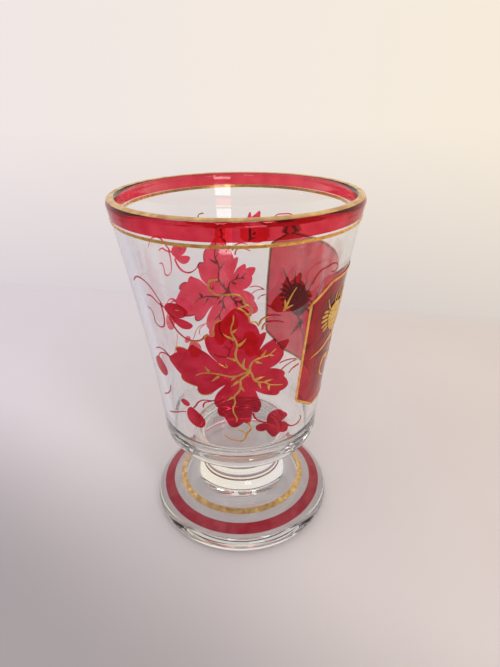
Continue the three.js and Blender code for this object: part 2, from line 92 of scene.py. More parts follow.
def linear(code: str) -> Colour:
    """Turns an sRGB hex colour into linear values.

    Args:
        code: The colour as "#RRGGBB".

    Returns:
        Linear red, green, blue and an alpha of 1.
    """
    parts = [int(code[i : i + 2], 16) / 255 for i in (1, 3, 5)]
    return (*((c / 12.92 if c <= 0.04045 else ((c + 0.055) / 1.055) ** 2.4) for c in parts), 1.0)


def add_node(tree: bpy.types.NodeTree, kind: str, inputs: dict | None = None, **settings: Any) -> Any:
    """Adds a node with its settings, and sets or links its inputs.

    Args:
        tree: The node tree.
        kind: The node's type.
        inputs: Values or output sockets by input name or number.
        **settings: The node's own properties.

    Returns:
        The new node.
    """
    node = tree.nodes.new(kind)
    for name, value in settings.items():
        setattr(node, name, value)
    for name, value in (inputs or {}).items():
        if isinstance(value, bpy.types.NodeSocket):
            tree.links.new(value, node.inputs[name])
        else:
            node.inputs[name].default_value = value
    return node


def graded(tree: bpy.types.NodeTree, value: Any, low: float, high: float, first: Any, second: Any) -> tuple:
    """Adds a colour that goes evenly from one to another as a value goes from low to high.

    Args:
        tree: The node tree.
        value: The value's socket.
        low: Where the first colour ends.
        high: Where the second colour begins.
        first: A colour or its socket.
        second: A colour or its socket.

    Returns:
        The sockets of the second colour's share and of the colour.
    """
    share = add_node(tree, "ShaderNodeMapRange", {"Value": value, "From Min": low, "From Max": high})
    part = share.outputs["Result"]
    mix = add_node(tree, "ShaderNodeMix", {0: part, 6: first, 7: second}, data_type="RGBA")
    return part, mix.outputs[2]


def risen(
    tree: bpy.types.NodeTree, place: Any, way: tuple, low: float, high: float, start: float = 0.0
) -> Any:
    """Adds a value that rises smoothly to 1 along a direction.

    Args:
        tree: The node tree.
        place: The socket of the place.
        way: The direction, whose length scales the distance.
        low: The distance along it, in metres, where the rise starts.
        high: The distance where it ends.
        start: The value before the rise.

    Returns:
        The value's socket.
    """
    along = add_node(tree, "ShaderNodeVectorMath", {0: place, 1: way}, operation="DOT_PRODUCT")
    limits = {"Value": along.outputs["Value"], "From Min": low, "From Max": high, "To Min": start}
    return add_node(tree, "ShaderNodeMapRange", limits, interpolation_type="SMOOTHSTEP").outputs["Result"]


def new_material(name: str) -> tuple[bpy.types.Material, bpy.types.NodeTree]:
    """Makes an empty node material.

    Args:
        name: The material's name.

    Returns:
        The material and its node tree.
    """
    material = bpy.data.materials.new(name)
    material.use_nodes = True
    material.node_tree.nodes.clear()
    return material, material.node_tree


def new_object(name: str, data: bpy.types.ID) -> bpy.types.Object:
    """Makes an object of a mesh, camera or light, and puts it into the scene.

    Args:
        name: The object's name.
        data: What it is an object of.

    Returns:
        The new object.
    """
    made = bpy.data.objects.new(name, data)
    bpy.context.scene.collection.objects.link(made)
    return made


@dataclass(frozen=True)
class SodaGlass:
    """Blown and fire-polished soda glass: clear, a little grey-green where thick, faintly wavy."""

    tint: str = "#FEFEFE"
    depth_tint: str = "#E4ECE2"
    depth_density: float = 5.0  # per metre, so that only the thick foot shows the tint
    ior: float = 1.52
    roughness: float = 0.012
    wave: float = 16.0  # mm, the slow waves that blowing leaves
    wave_height: float = 0.02  # mm

    def material(self) -> bpy.types.Material:
        """Builds the material.

        Returns:
            The material.
        """
        material, tree = new_material("blown_soda_glass")
        place = add_node(tree, "ShaderNodeTexCoord").outputs["Object"]
        scale = 1 / (self.wave * MM)
        waves = add_node(tree, "ShaderNodeTexNoise", {"Vector": place, "Scale": scale, "Detail": 1.0})
        height = {"Height": waves.outputs["Fac"], "Strength": 1.0, "Distance": self.wave_height * MM}
        bump = add_node(tree, "ShaderNodeBump", height)
        shader = add_node(tree, "ShaderNodeBsdfPrincipled", {
            "Base Color": linear(self.tint),
            "Roughness": self.roughness,
            "IOR": self.ior,
            "Transmission Weight": 1.0,
            "Normal": bump.outputs["Normal"],
        })
        depth = {"Color": linear(self.depth_tint), "Density": self.depth_density}
        volume = add_node(tree, "ShaderNodeVolumeAbsorption", depth).outputs["Volume"]
        add_node(tree, "ShaderNodeOutputMaterial", {"Surface": shader.outputs["BSDF"], "Volume": volume})
        return material


@dataclass(frozen=True)
class RubyStain:
    """Copper ruby stain fired into the glass: a clear deep red, a little uneven where it was brushed."""

    name: str = "fired_ruby_stain"
    light: str = "#E43650"
    deep: str = "#D31A38"
    ior: float = 1.3
    roughness: float = 0.03
    stroke: float = 5.0  # mm, the width of the brush's uneven patches

    def material(self) -> bpy.types.Material:
        """Builds the material.

        Returns:
            The material.
        """
        material, tree = new_material(self.name)
        place = add_node(tree, "ShaderNodeTexCoord").outputs["Object"]
        scale = 1 / (self.stroke * MM)
        patches = add_node(tree, "ShaderNodeTexNoise", {"Vector": place, "Scale": scale, "Detail": 3.0})
        light, deep = linear(self.light), linear(self.deep)
        _, colour = graded(tree, patches.outputs["Fac"], PATCH_LOW, PATCH_HIGH, light, deep)
        shader = add_node(tree, "ShaderNodeBsdfPrincipled", {
            "Base Color": colour,
            "Roughness": self.roughness,
            "IOR": self.ior,
            "Transmission Weight": 1.0,
        })
        add_node(tree, "ShaderNodeOutputMaterial", {"Surface": shader.outputs["BSDF"]})
        return material


@dataclass(frozen=True)
class FiredGold:
    """Liquid gold brushed on, fired and burnished: warm metal, duller and browner where it is thin."""

    name: str = "fired_gold"
    bright: str = "#FFCE70"
    worn: str = "#E0A256"
    grain: float = 1.6  # mm, the width of the thick and thin patches
    grain_height: float = 0.02  # mm
    grain_strength: float = 0.6
    hair_marks: float = 3.0  # across a patch: fewer and broader than a real brush leaves, so that they show
    smooth: float = 0.24
    rough: float = 0.40
    stipple: float = 0.0  # mm between the dots that a fine point leaves, or 0 for none
    dot: str = "#8A5A22"

    def material(self) -> bpy.types.Material:
        """Builds the material.

        Returns:
            The material.
        """
        material, tree = new_material(self.name)
        place = add_node(tree, "ShaderNodeTexCoord").outputs["Object"]
        broad, fine = 1 / (self.grain * MM), self.hair_marks / (self.grain * MM)
        patches = add_node(tree, "ShaderNodeTexNoise", {"Vector": place, "Scale": broad, "Detail": 4.0})
        hairs = add_node(tree, "ShaderNodeTexNoise", {"Vector": place, "Scale": fine, "Detail": 3.0})
        bump = add_node(tree, "ShaderNodeBump", {
            "Height": hairs.outputs["Fac"],
            "Strength": self.grain_strength,
            "Distance": self.grain_height * MM,
        })
        bright, worn = linear(self.bright), linear(self.worn)
        share, colour = graded(tree, patches.outputs["Fac"], PATCH_LOW, PATCH_HIGH, bright, worn)
        if self.stipple:
            scale = 1 / (self.stipple * MM)
            dots = add_node(tree, "ShaderNodeTexVoronoi", {"Vector": place, "Scale": scale})
            dot = linear(self.dot)
            _, colour = graded(tree, dots.outputs["Distance"], DOT_EDGE, DOT_FADE, dot, colour)
        finish = {"Value": share, "To Min": self.smooth, "To Max": self.rough}
        shader = add_node(tree, "ShaderNodeBsdfPrincipled", {
            "Base Color": colour,
            "Metallic": 1.0,
            "Roughness": add_node(tree, "ShaderNodeMapRange", finish).outputs["Result"],
            "Normal": bump.outputs["Normal"],
        })
        add_node(tree, "ShaderNodeOutputMaterial", {"Surface": shader.outputs["BSDF"]})
        return material


@dataclass
class Skin:
    """A closed mesh in the making: points in millimetres, and faces as point numbers."""

    points: np.ndarray
    faces: list[tuple[int, ...]]

    def joined(self, other: "Skin") -> "Skin":
        """Puts another skin's points and faces after this one's.

        Args:
            other: The other skin.

        Returns:
            Both as one skin.
        """
        start = len(self.points)
        moved = [tuple(i + start for i in face) for face in other.faces]
        return Skin(np.vstack([self.points, other.points]), self.faces + moved)


def make_piece(name: str, skin: Skin, material: bpy.types.Material, nodes: list[str]) -> None:
    """Makes an object of a skin, lets it ride, and says what it stands for.

    Args:
        name: The piece's name.
        skin: Its points and faces.
        material: Its finish.
        nodes: The frame's nodes that it stands for.
    """
    mesh = bpy.data.meshes.new(name)
    mesh.from_pydata((skin.points * MM).tolist(), [], skin.faces)
    mesh.validate()
    mesh.polygons.foreach_set("use_smooth", np.ones(len(mesh.polygons), bool))
    mesh.set_sharp_from_angle(angle=math.radians(CREASE))
    mesh.materials.append(material)
    piece = new_object(name, mesh)
    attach(piece, BODY)
    if nodes:
        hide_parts(*nodes)
    LOG.info("%s: %d faces, for %s", name, len(mesh.polygons), ", ".join(nodes) or "no node of its own")


def arc(centre: tuple, radii: tuple, start: float, end: float, steps: int) -> np.ndarray:
    """Points on an ellipse, centre + radii * (cos a, sin a), with a from start to end in degrees.

    Args:
        centre: The ellipse's centre.
        radii: Its half-axes.
        start: The first angle, 0 pointing outwards.
        end: The last angle.
        steps: How many steps it has.

    Returns:
        The points, one a row.
    """
    angle = np.radians(np.linspace(start, end, steps + 1))
    return np.column_stack([centre[0] + radii[0] * np.cos(angle), centre[1] + radii[1] * np.sin(angle)])


def bend(start: tuple, corner: tuple, end: tuple, steps: int) -> np.ndarray:
    """Points on the curve (1-t)^2 start + 2t(1-t) corner + t^2 end.

    Args:
        start: The curve's start.
        corner: The point that both ends' tangents meet in.
        end: The curve's end.
        steps: How many steps it has.

    Returns:
        The points, one a row.
    """
    t = np.linspace(0, 1, steps + 1)[:, None]
    a, b, c = (np.asarray(p, float) for p in (start, corner, end))
    return (1 - t) ** 2 * a + 2 * t * (1 - t) * b + t**2 * c


def round_faces(rows: int, around: int, closed: bool) -> list[tuple[int, ...]]:
    """Four-sided faces between rows of points that each go round and close on themselves.

    Args:
        rows: How many rows there are.
        around: How many points a row has.
        closed: True if the last row also joins the first.

    Returns:
        The faces as point numbers.
    """
    row = np.arange(rows if closed else rows - 1)[:, None]
    step = np.arange(around)[None, :]
    here, above = row * around, (row + 1) % rows * around
    ahead = (step + 1) % around
    quads = np.stack([here + step, here + ahead, above + ahead, above + step], -1)
    return [tuple(face) for face in quads.reshape(-1, 4).tolist()]


def revolved(profile: np.ndarray, around: int, closed: bool) -> Skin:
    """Turns a profile about the axis: (r sin a, -r cos a, z) for each step a round and each (r, z).

    Args:
        profile: Points of radius and height, counter-clockwise.
        around: How many steps go round.
        closed: True if the profile closes on itself, and False if it starts and ends on the axis.

    Returns:
        The closed skin.
    """
    rows = profile if closed else profile[1:-1]
    angle = np.arange(around) * 2 * math.pi / around
    radius, height = rows[:, :1], np.repeat(rows[:, 1:], around, 1)
    grid = np.stack([radius * np.sin(angle), -radius * np.cos(angle), height], axis=-1).reshape(-1, 3)
    faces = round_faces(len(rows), around, closed)
    if closed:
        return Skin(grid, faces)
    low, high = len(grid), len(grid) + 1
    last = len(grid) - around
    fans = [(low, (i + 1) % around, i) for i in range(around)]
    fans += [(high, last + i, last + (i + 1) % around) for i in range(around)]
    ends = np.array([[0, 0, profile[0][1]], [0, 0, profile[-1][1]]])
    return Skin(np.vstack([grid, ends]), faces + fans)


@dataclass(frozen=True)
class BowlWall:
    """The bowl's outer wall, which flares gently: radius = base + (rim - base) * share of height ^ flare."""

    base_radius: float = 28.9
    rim_radius: float = 40.2
    start: float = 40.0
    height: float = 82.9
    flare: float = 1.3
    drawn: float = 77.3 / 77.9  # the decoration was measured on a wall this much shorter than drawn
    mirror_turn: float = 96.2

    def radius(self, height: np.ndarray) -> np.ndarray:
        """Radius at each height."""
        share = np.clip((np.asarray(height, float) - self.start) / self.height, 0, 1)
        return self.base_radius + (self.rim_radius - self.base_radius) * share**self.flare

    def slope(self, height: np.ndarray) -> np.ndarray:
        """How much the radius grows over the millimetre about each height."""
        return self.radius(height + 0.5) - self.radius(height - 0.5)

    def unrolled(self, places: Places, side: Side) -> np.ndarray:
        """Puts places of turn and climb on the unrolled wall: x = turn * radius, y = height.

        Args:
            places: Turns in degrees and climbs in millimetres, as drawn on the front.
            side: The half that they go on.

        Returns:
            Points on the unrolled wall, one a row.
        """
        turn, climb = np.asarray(places, float).T
        if side is Side.BACK:
            turn = 2 * self.mirror_turn - turn
        height = self.start + climb * self.drawn
        return np.column_stack([np.radians(turn) * self.radius(height), height])

    def rolled(self, flat: np.ndarray, rise: np.ndarray) -> np.ndarray:
        """Rolls points of the unrolled wall back: turn = x / radius, then out by each one's rise.

        Args:
            flat: Points on the unrolled wall.
            rise: How far each lies off the wall.

        Returns:
            Points in space, one a row.
        """
        radius = self.radius(flat[:, 1])
        turn = flat[:, 0] / radius
        out = radius + rise
        return np.column_stack([out * np.sin(turn), -out * np.cos(turn), flat[:, 1]])


@dataclass
class ClearGlass:
    """Foot, stem and bowl, joined hot into one piece of glass."""

    wall: BowlWall
    foot_radius: float = 34.6
    foot_edge_radius: float = 3.4
    foot_edge_height: float = 6.3
    foot_crown_height: float = 13.1
    foot_shoulder_radius: float = 31.9
    foot_hollow_radius: float = 22.0
    foot_hollow_depth: float = 1.4
    foot_seam_rise: float = 1.5
    foot_flare_reach: float = 4.6  # how far the stem's flare runs out over the foot's crown
    stem_length: float = 14.9
    stem_foot_radius: float = 17.8
    stem_waist_radius: float = 14.4
    stem_top_radius: float = 16.5
    stem_waist_share: float = 0.6
    bowl_seat_rise: float = 2.5
    bowl_corner_radius: float = 8.0
    wall_thickness: float = 3.2
    floor_thickness: float = 7.0
    floor_corner_radius: float = 6.0
    lip_rise: float = 2.0
    lip_dip: float = 1.6  # the lip is not quite level: this much lower at the back than at the front
    lip_dip_start: float = 4.0  # how far under the lip the dip begins
    around: int = 240
    edge_steps: int = 12
    seam_steps: int = 10
    corner_steps: int = 16
    lip_steps: int = 24
    wall_rows: int = 40

    @property
    def stem_foot_height(self) -> float:
        """Height where the stem leaves the foot."""
        return self.foot_crown_height + self.foot_seam_rise

    @property
    def stem_top_height(self) -> float:
        """Height where the stem meets the bowl."""
        return self.stem_foot_height + self.stem_length

    @property
    def lip_start(self) -> float:
        """Height where the lip starts to round."""
        return self.wall.start + self.wall.height

    def dipped(self, skin: Skin) -> Skin:
        """Lowers the lip towards the back by dip * (1 - cos turn) / 2 * share.

        The share rises evenly from 0 where the dip begins to 1 at the lip's top.

        Args:
            skin: A skin that goes round the lip.

        Returns:
            The same skin, with its points moved.
        """
        low, high = self.lip_start - self.lip_dip_start, self.lip_start + self.lip_rise
        x, y, height = skin.points.T
        turn_cosine = -y / np.maximum(np.hypot(x, y), TOUCHING)
        share = np.clip((height - low) / (high - low), 0, None)
        drop = self.lip_dip * (1 - turn_cosine) / 2 * share
        return Skin(np.column_stack([x, y, height - drop]), skin.faces)

    def crown_height(self, radius: float, offset: float = 0.0) -> float:
        """Height of the foot's sloping top at a radius, with a distance off it."""
        slope = (self.foot_crown_height - self.foot_edge_height) / (self.foot_radius - self.stem_foot_radius)
        return self.foot_edge_height + (self.foot_radius - radius) * slope + offset * math.hypot(1, slope)

    def lip_arc(self, start: float, end: float, steps: int, offset: float = 0.0) -> np.ndarray:
        """Points round the lip between two angles, with a distance off it.

        Args:
            start: The first angle, 0 pointing outwards.
            end: The last angle.
            steps: How many steps it has.
            offset: The distance off the glass.

        Returns:
            Points of radius and height, one a row.
        """
        half = self.wall_thickness / 2
        centre = (self.wall.rim_radius - half, self.lip_start)
        return arc(centre, (half + offset, self.lip_rise + offset), start, end, steps)

    def foot_profile(self) -> np.ndarray:
        """The foot's hollow, flat ground ring, rounded edge and shoulder.

        Returns:
            Points of radius and height, one a row.
        """
        edge, rounding = self.foot_radius - self.foot_edge_radius, self.foot_edge_radius
        shoulder = self.foot_shoulder_radius
        meeting = (self.foot_radius, self.crown_height(self.foot_radius))
        crown = (shoulder, self.crown_height(shoulder))
        return np.vstack([
            arc((0, 0), (self.foot_hollow_radius, self.foot_hollow_depth), 90, 0, self.edge_steps),
            arc((edge, rounding), (rounding, rounding), -90, 0, self.edge_steps),
            bend((self.foot_radius, rounding), meeting, crown, self.seam_steps)[1:],
        ])

    def stem_profile(self) -> np.ndarray:
        """The flare from the crown up to the waist, then radius = waist + (top - waist) * share ^ 2.

        Returns:
            Points of radius and height, one a row.
        """
        waist_height = self.stem_foot_height + self.stem_waist_share * self.stem_length
        start, waist = self.stem_foot_radius + self.foot_flare_reach, self.stem_waist_radius
        crown, meeting = (start, self.crown_height(start)), (waist, self.crown_height(waist))
        flare = bend(crown, meeting, (waist, waist_height), self.lip_steps)
        share = np.linspace(0, 1, self.seam_steps + 1)[1:]
        radius = waist + (self.stem_top_radius - waist) * share**2
        height = waist_height + (self.stem_top_height - waist_height) * share
        return np.vstack([flare, np.column_stack([radius, height])])

    def bowl_profile(self) -> np.ndarray:
        """The bowl's seat, outer corner, wall, lip, inner wall, inner corner and floor.

        Returns:
            Points of radius and height, one a row.
        """
        underside = self.stem_top_height + self.bowl_seat_rise
        rounding = self.bowl_corner_radius
        corner = (self.wall.base_radius - rounding, self.wall.start)
        floor = underside + self.floor_thickness
        inner_corner = floor + self.floor_corner_radius
        outer = np.linspace(self.wall.start, self.lip_start, self.wall_rows)[1:-1]
        inner = np.linspace(self.lip_start, inner_corner, self.wall_rows)[1:-1]
        radius = float(self.wall.radius(inner_corner)) - self.wall_thickness - self.floor_corner_radius
        top = self.stem_top_radius
        seat = bend((top, self.stem_top_height), (top, underside), (corner[0], underside), self.seam_steps)
        return np.vstack([
            seat[1:],
            arc(corner, (rounding, rounding), -90, 0, self.corner_steps)[1:],
            np.column_stack([self.wall.radius(outer), outer]),
            self.lip_arc(0, 180, self.lip_steps),
            np.column_stack([self.wall.radius(inner) - self.wall_thickness, inner]),
            arc((radius, inner_corner), (self.floor_corner_radius,) * 2, 0, -90, self.corner_steps),
            [(0, floor)],
        ])

    def build(self, finish: SodaGlass) -> None:
        """Makes the glass in one piece.

        Args:
            finish: Its finish.
        """
        profile = np.vstack([self.foot_profile(), self.stem_profile(), self.bowl_profile()])
        skin = self.dipped(revolved(profile, self.around, closed=False))
        make_piece("clear_body", skin, finish.material(), ["bowl", "stem", "foot"])


@dataclass(frozen=True)
class Layer:
    """A fired layer: how far it lies off the glass, how thick it is, and its slot."""

    gap: float
    thickness: float
    slot: Slot


STAINS = (Finish.STAIN, Finish.PANEL, Finish.BAND, Finish.FOOT)
LAYERS = dict.fromkeys(STAINS, Layer(gap=0.05, thickness=0.06, slot=Slot.RUBY)) | {
    Finish.GOLD: Layer(gap=0.16, thickness=0.12, slot=Slot.GOLD),
    Finish.FOOT_GOLD: Layer(gap=0.16, thickness=0.12, slot=Slot.GOLD),
    Finish.STIPPLED: Layer(gap=0.3, thickness=0.1, slot=Slot.GOLD),
    Finish.RIM: Layer(gap=0.16, thickness=0.06, slot=Slot.GOLD),
}
Finishes = dict[Finish, bpy.types.Material]


@dataclass
class Bands:
    """Bands of ruby and gold round the lip, the wall and the foot."""

    glass: ClearGlass
    gilding_outer_angle: float = 46.0
    gilding_inner_angle: float = 118.0
    ruby_band_height: float = 3.7
    ruby_band_sag: float = 0.6
    ruby_band_top_angle: float = 44.0
    gold_line_drop: float = 0.7
    gold_line_width: float = 1.0
    foot_ruby_radius: float = 29.8
    foot_ruby_width: float = 3.8
    foot_gold_radius: float = 23.9
    foot_gold_width: float = 2.0
    lip_steps: int = 14
    wall_rows: int = 9
    foot_rows: int = 6
    dome_reach: float = 0.97  # how far out a brushed line's dome runs before its edge drops
    edge_margin: float = 0.01  # how far above the ruby band's lower edge its lowest points may lie

    @staticmethod
    def ring(outer: np.ndarray, inner: np.ndarray, around: int) -> Skin:
        """A closed ring between two runs of points, listed the same way."""
        return revolved(np.vstack([outer, inner[::-1]]), around, closed=True)

    def lip_run(self, start: float, end: float, offset: float) -> np.ndarray:
        """A run round the lip, with a distance off it."""
        return self.glass.lip_arc(start, end, self.lip_steps, offset)

    def wall_run(self, low: float, high: float, offset: float, layer: Layer | None = None) -> np.ndarray:
        """A run up the wall, with a distance off it.

        If it is of a layer, its outer face is domed: down by thickness * (1 - sqrt(1 - across^2)).

        Args:
            low: Its lower height.
            high: Its upper height.
            offset: Its distance off the wall.
            layer: The layer whose dome it has, if any.

        Returns:
            Points of radius and height, one a row.
        """
        height = np.linspace(low, high, self.wall_rows)
        if layer and offset > layer.gap:
            across = np.linspace(-self.dome_reach, self.dome_reach, self.wall_rows)
            offset = offset - layer.thickness * (1 - np.sqrt(1 - across**2))
        return np.column_stack([self.glass.wall.radius(height) + offset, height])

    def ruby_run(self, offset: float) -> np.ndarray:
        """The ruby band's run, up the wall and on to the lip.

        Args:
            offset: The distance off the glass.

        Returns:
            Points of radius and height, one a row.
        """
        start = self.glass.lip_start
        up = self.wall_run(start - self.ruby_band_height, start, offset)[:-1]
        return np.vstack([up, self.lip_run(0, self.ruby_band_top_angle, offset)])

    def sagged(self, skin: Skin) -> Skin:
        """Lets the ruby band's lower edge sag towards the gold line at the back, as it was brushed.

        Down by sag * (1 - cos turn) / 2, for the lowest row of points alone.

        Args:
            skin: The band's skin.

        Returns:
            The same skin, with its lowest points moved along the wall.
        """
        x, y, height = skin.points.T
        lowest = height < self.glass.lip_start - self.ruby_band_height + self.edge_margin
        drop = self.ruby_band_sag * (1 + y / np.hypot(x, y)) / 2 * lowest
        radius = 1 - drop * self.glass.wall.slope(height) / np.hypot(x, y)
        return Skin(np.column_stack([x * radius, y * radius, height - drop]), skin.faces)

    def foot_run(self, radius: float, width: float, offset: float) -> np.ndarray:
        """A run across the foot's crown, from its outer to its inner edge."""
        radii = np.linspace(radius + width / 2, radius - width / 2, self.foot_rows)
        return np.column_stack([radii, [self.glass.crown_height(r, offset) for r in radii]])

    def build(self, finishes: Finishes) -> None:
        """Makes the five bands.

        Args:
            finishes: The finishes' materials.
        """
        top = self.glass.lip_start - self.ruby_band_height - self.gold_line_drop
        line = (top - self.gold_line_width, top)
        lip = (self.gilding_outer_angle, self.gilding_inner_angle)
        gold = LAYERS[Finish.GOLD]
        ruby_foot = (self.foot_ruby_radius, self.foot_ruby_width)
        gold_foot = (self.foot_gold_radius, self.foot_gold_width)
        runs = {
            "rim_gilding": (Finish.RIM, lambda offset: self.lip_run(*lip, offset)),
            "rim_ruby_band": (Finish.BAND, self.ruby_run),
            "rim_gold_line": (Finish.GOLD, lambda offset: self.wall_run(*line, offset, gold)),
            "foot_ruby_ring": (Finish.FOOT, lambda offset: self.foot_run(*ruby_foot, offset)),
            "foot_gold_ring": (Finish.FOOT_GOLD, lambda offset: self.foot_run(*gold_foot, offset)),
        }
        for node, (finish, run) in runs.items():
            layer = LAYERS[finish]
            skin = self.ring(run(layer.gap + layer.thickness), run(layer.gap), self.glass.around)
            if node in ("rim_gilding", "rim_ruby_band"):
                skin = self.glass.dipped(skin)
            if node == "rim_ruby_band":
                skin = self.sagged(skin)
            make_piece(f"{node}_fired", skin, finishes[finish], [node])


FINE_POINTS = 16  # points of a spline for each place that it goes through
STROKE_STEP = 0.35  # about how far apart a stroke's points are
OUTLINE_STEP = 0.4
STROKE_SECTION = ((1, 0), (1, 0.3), (0.6, 0.8), (0, 1), (-0.6, 0.8), (-1, 0.3), (-1, 0))  # across, lift
END_WIDTH = 0.12  # a stroke's ends keep these shares of its width and its lift
END_LIFT = 0.3


def smooth_run(points: np.ndarray, step: float) -> np.ndarray:
    """A smooth curve through points, as a cubic Hermite spline on the square root of their distances.

    Args:
        points: The points that it goes through.
        step: About how far apart the new points are.

    Returns:
        Evenly spaced points on the curve.
    """
    if len(points) < 3:
        count = max(2, int(np.linalg.norm(points[-1] - points[0]) / step) + 1)
        return points[0] + np.linspace(0, 1, count)[:, None] * (points[-1] - points[0])
    gaps = np.sqrt(np.linalg.norm(np.diff(points, axis=0), axis=1))
    knots = np.concatenate([[0], np.cumsum(gaps)])
    slopes = np.diff(points, axis=0) / gaps[:, None]
    inner = (slopes[1:] * gaps[:-1, None] + slopes[:-1] * gaps[1:, None]) / (gaps[1:] + gaps[:-1])[:, None]
    tangents = np.vstack([2 * slopes[0] - inner[0], inner, 2 * slopes[-1] - inner[-1]])
    fine = np.linspace(0, knots[-1], len(points) * FINE_POINTS)
    span = np.clip(np.searchsorted(knots, fine, side="right") - 1, 0, len(gaps) - 1)
    t = ((fine - knots[span]) / gaps[span])[:, None]
    reach = gaps[span][:, None]
    curve = (
        (2 * t**3 - 3 * t**2 + 1) * points[span]
        + (t**3 - 2 * t**2 + t) * reach * tangents[span]
        + (3 * t**2 - 2 * t**3) * points[span + 1]
        + (t**3 - t**2) * reach * tangents[span + 1]
    )
    along = np.concatenate([[0], np.cumsum(np.linalg.norm(np.diff(curve, axis=0), axis=1))])
    even = np.linspace(0, along[-1], max(3, int(along[-1] / step) + 1))
    return np.column_stack([np.interp(even, along, curve[:, 0]), np.interp(even, along, curve[:, 1])])


@dataclass(frozen=True)
class Stroke:
    """A brush stroke through places on the wall, from one width to another, domed across."""

    places: Places
    start_width: float
    end_width: float

    def skin(self, wall: BowlWall, side: Side, layer: Layer) -> Skin:
        """Carries the domed section along the stroke, wider and higher away from its rounded ends.

        Args:
            wall: The wall that it lies on.
            side: The half that it is on.
            layer: Its gap and thickness.

        Returns:
            The closed skin.
        """
        line = smooth_run(wall.unrolled(self.places, side), STROKE_STEP)
        ahead = np.gradient(line, axis=0)
        ahead /= np.linalg.norm(ahead, axis=1)[:, None]
        aside = np.column_stack([-ahead[:, 1], ahead[:, 0]])
        share = np.linspace(0, 1, len(line))
        along = np.concatenate([[0], np.cumsum(np.linalg.norm(np.diff(line, axis=0), axis=1))])
        width = self.start_width + (self.end_width - self.start_width) * share
        near_end = np.minimum(along, along[-1] - along)
        rounding = np.sqrt(1 - (1 - np.clip(near_end / (width / 2), 0, 1)) ** 2)
        half = width / 2 * np.maximum(rounding, END_WIDTH)
        across, lift = np.array(STROKE_SECTION, float).T
        flat = line[:, None, :] + aside[:, None, :] * half[:, None, None] * across[None, :, None]
        rise = layer.gap + layer.thickness * lift[None, :] * np.maximum(rounding, END_LIFT)[:, None]
        points = wall.rolled(flat.reshape(-1, 2), rise.reshape(-1))
        sides = len(across)
        caps = [tuple(reversed(range(sides))), tuple(range(len(points) - sides, len(points)))]
        return Skin(points, round_faces(len(line), sides, closed=False) + caps)


@dataclass(frozen=True)
class Blot:
    """A filled shape on the wall, whose outline is a row of smooth runs that meet in corners.

    Each run starts where the one before it ended, and the last ends where the first started.
    """

    runs: tuple[Places, ...]
    spacing: float = 0.9

    def outline(self, wall: BowlWall, side: Side) -> np.ndarray:
        """The outline on the unrolled wall, with its runs end to end.

        Args:
            wall: The wall that it lies on.
            side: The half that it is on.

        Returns:
            Points on the unrolled wall, one a row.
        """
        starts = ((), *(run[-1:] for run in self.runs[:-1]))
        whole = [start + run for start, run in zip(starts, self.runs)]
        return np.vstack([smooth_run(wall.unrolled(run, side), OUTLINE_STEP)[:-1] for run in whole])

    def skin(self, wall: BowlWall, side: Side, layer: Layer) -> Skin:
        """Fills the outline with a grid of points and joins its outer and inner sheet round the edge.

        Args:
            wall: The wall that it lies on.
            side: The half that it is on.
            layer: Its gap and thickness.

        Returns:
            The closed skin.
        """
        edge = self.outline(wall, side)
        after = np.roll(edge, -1, 0)
        if np.sum(edge[:, 0] * after[:, 1] - after[:, 0] * edge[:, 1]) < 0:
            edge = edge[::-1]
        low, high = edge.min(0), edge.max(0)
        axes = [np.arange(low[i], high[i], self.spacing) for i in (0, 1)]
        grid = np.stack(np.meshgrid(*axes), -1).reshape(-1, 2)
        near = np.linalg.norm(grid[:, None] - edge[None], axis=2).min(1)
        flat = np.vstack([edge, grid[near > self.spacing / 2]])
        loop = [list(range(len(edge)))]
        made = delaunay_2d_cdt([Vector(p) for p in flat], [], loop, 0, TOUCHING, True)
        places, _, triangles, _, _, sources = made
        inside = np.array([face for face, source in zip(triangles, sources) if source])
        used, numbers = np.unique(inside, return_inverse=True)
        flat = np.array([list(p) for p in places])[used]
        sheet = [tuple(face) for face in numbers.reshape(-1, 3).tolist()]
        count = len(flat)
        edges = {(face[i], face[(i + 1) % 3]) for face in sheet for i in range(3)}
        rim = [(a, b) for a, b in edges if (b, a) not in edges]
        faces = sheet + [tuple(i + count for i in reversed(face)) for face in sheet]
        faces += [(b, a, a + count, b + count) for a, b in rim]
        outer = wall.rolled(flat, np.full(count, layer.gap + layer.thickness))
        inner = wall.rolled(flat, np.full(count, layer.gap))
        return Skin(np.vstack([outer, inner]), faces)


@dataclass(frozen=True)
class Motif:
    """One painted piece of the decoration, made of blots and strokes of one finish."""

    name: str
    finish: Finish
    blots: tuple[Blot, ...] = ()
    strokes: tuple[Stroke, ...] = ()
    in_frame: bool = True

    def build(self, node: str, wall: BowlWall, side: Side, finishes: Finishes) -> None:
        """Makes the piece.

        Args:
            node: The frame's node that it stands for, which it is named after.
            wall: The wall that it is painted on.
            side: The side that it is on, where the back mirrors the front.
            finishes: The finishes' materials.
        """
        layer = LAYERS[self.finish]
        whole, *others = [shape.skin(wall, side, layer) for shape in (*self.blots, *self.strokes)]
        for skin in others:
            whole = whole.joined(skin)
        make_piece(f"{node}_fired", whole, finishes[self.finish], [node] if self.in_frame else [])


def strokes(width: float, end_width: float, *lines: Places) -> tuple[Stroke, ...]:
    """Several strokes of the same widths."""
    return tuple(Stroke(line, width, end_width) for line in lines)


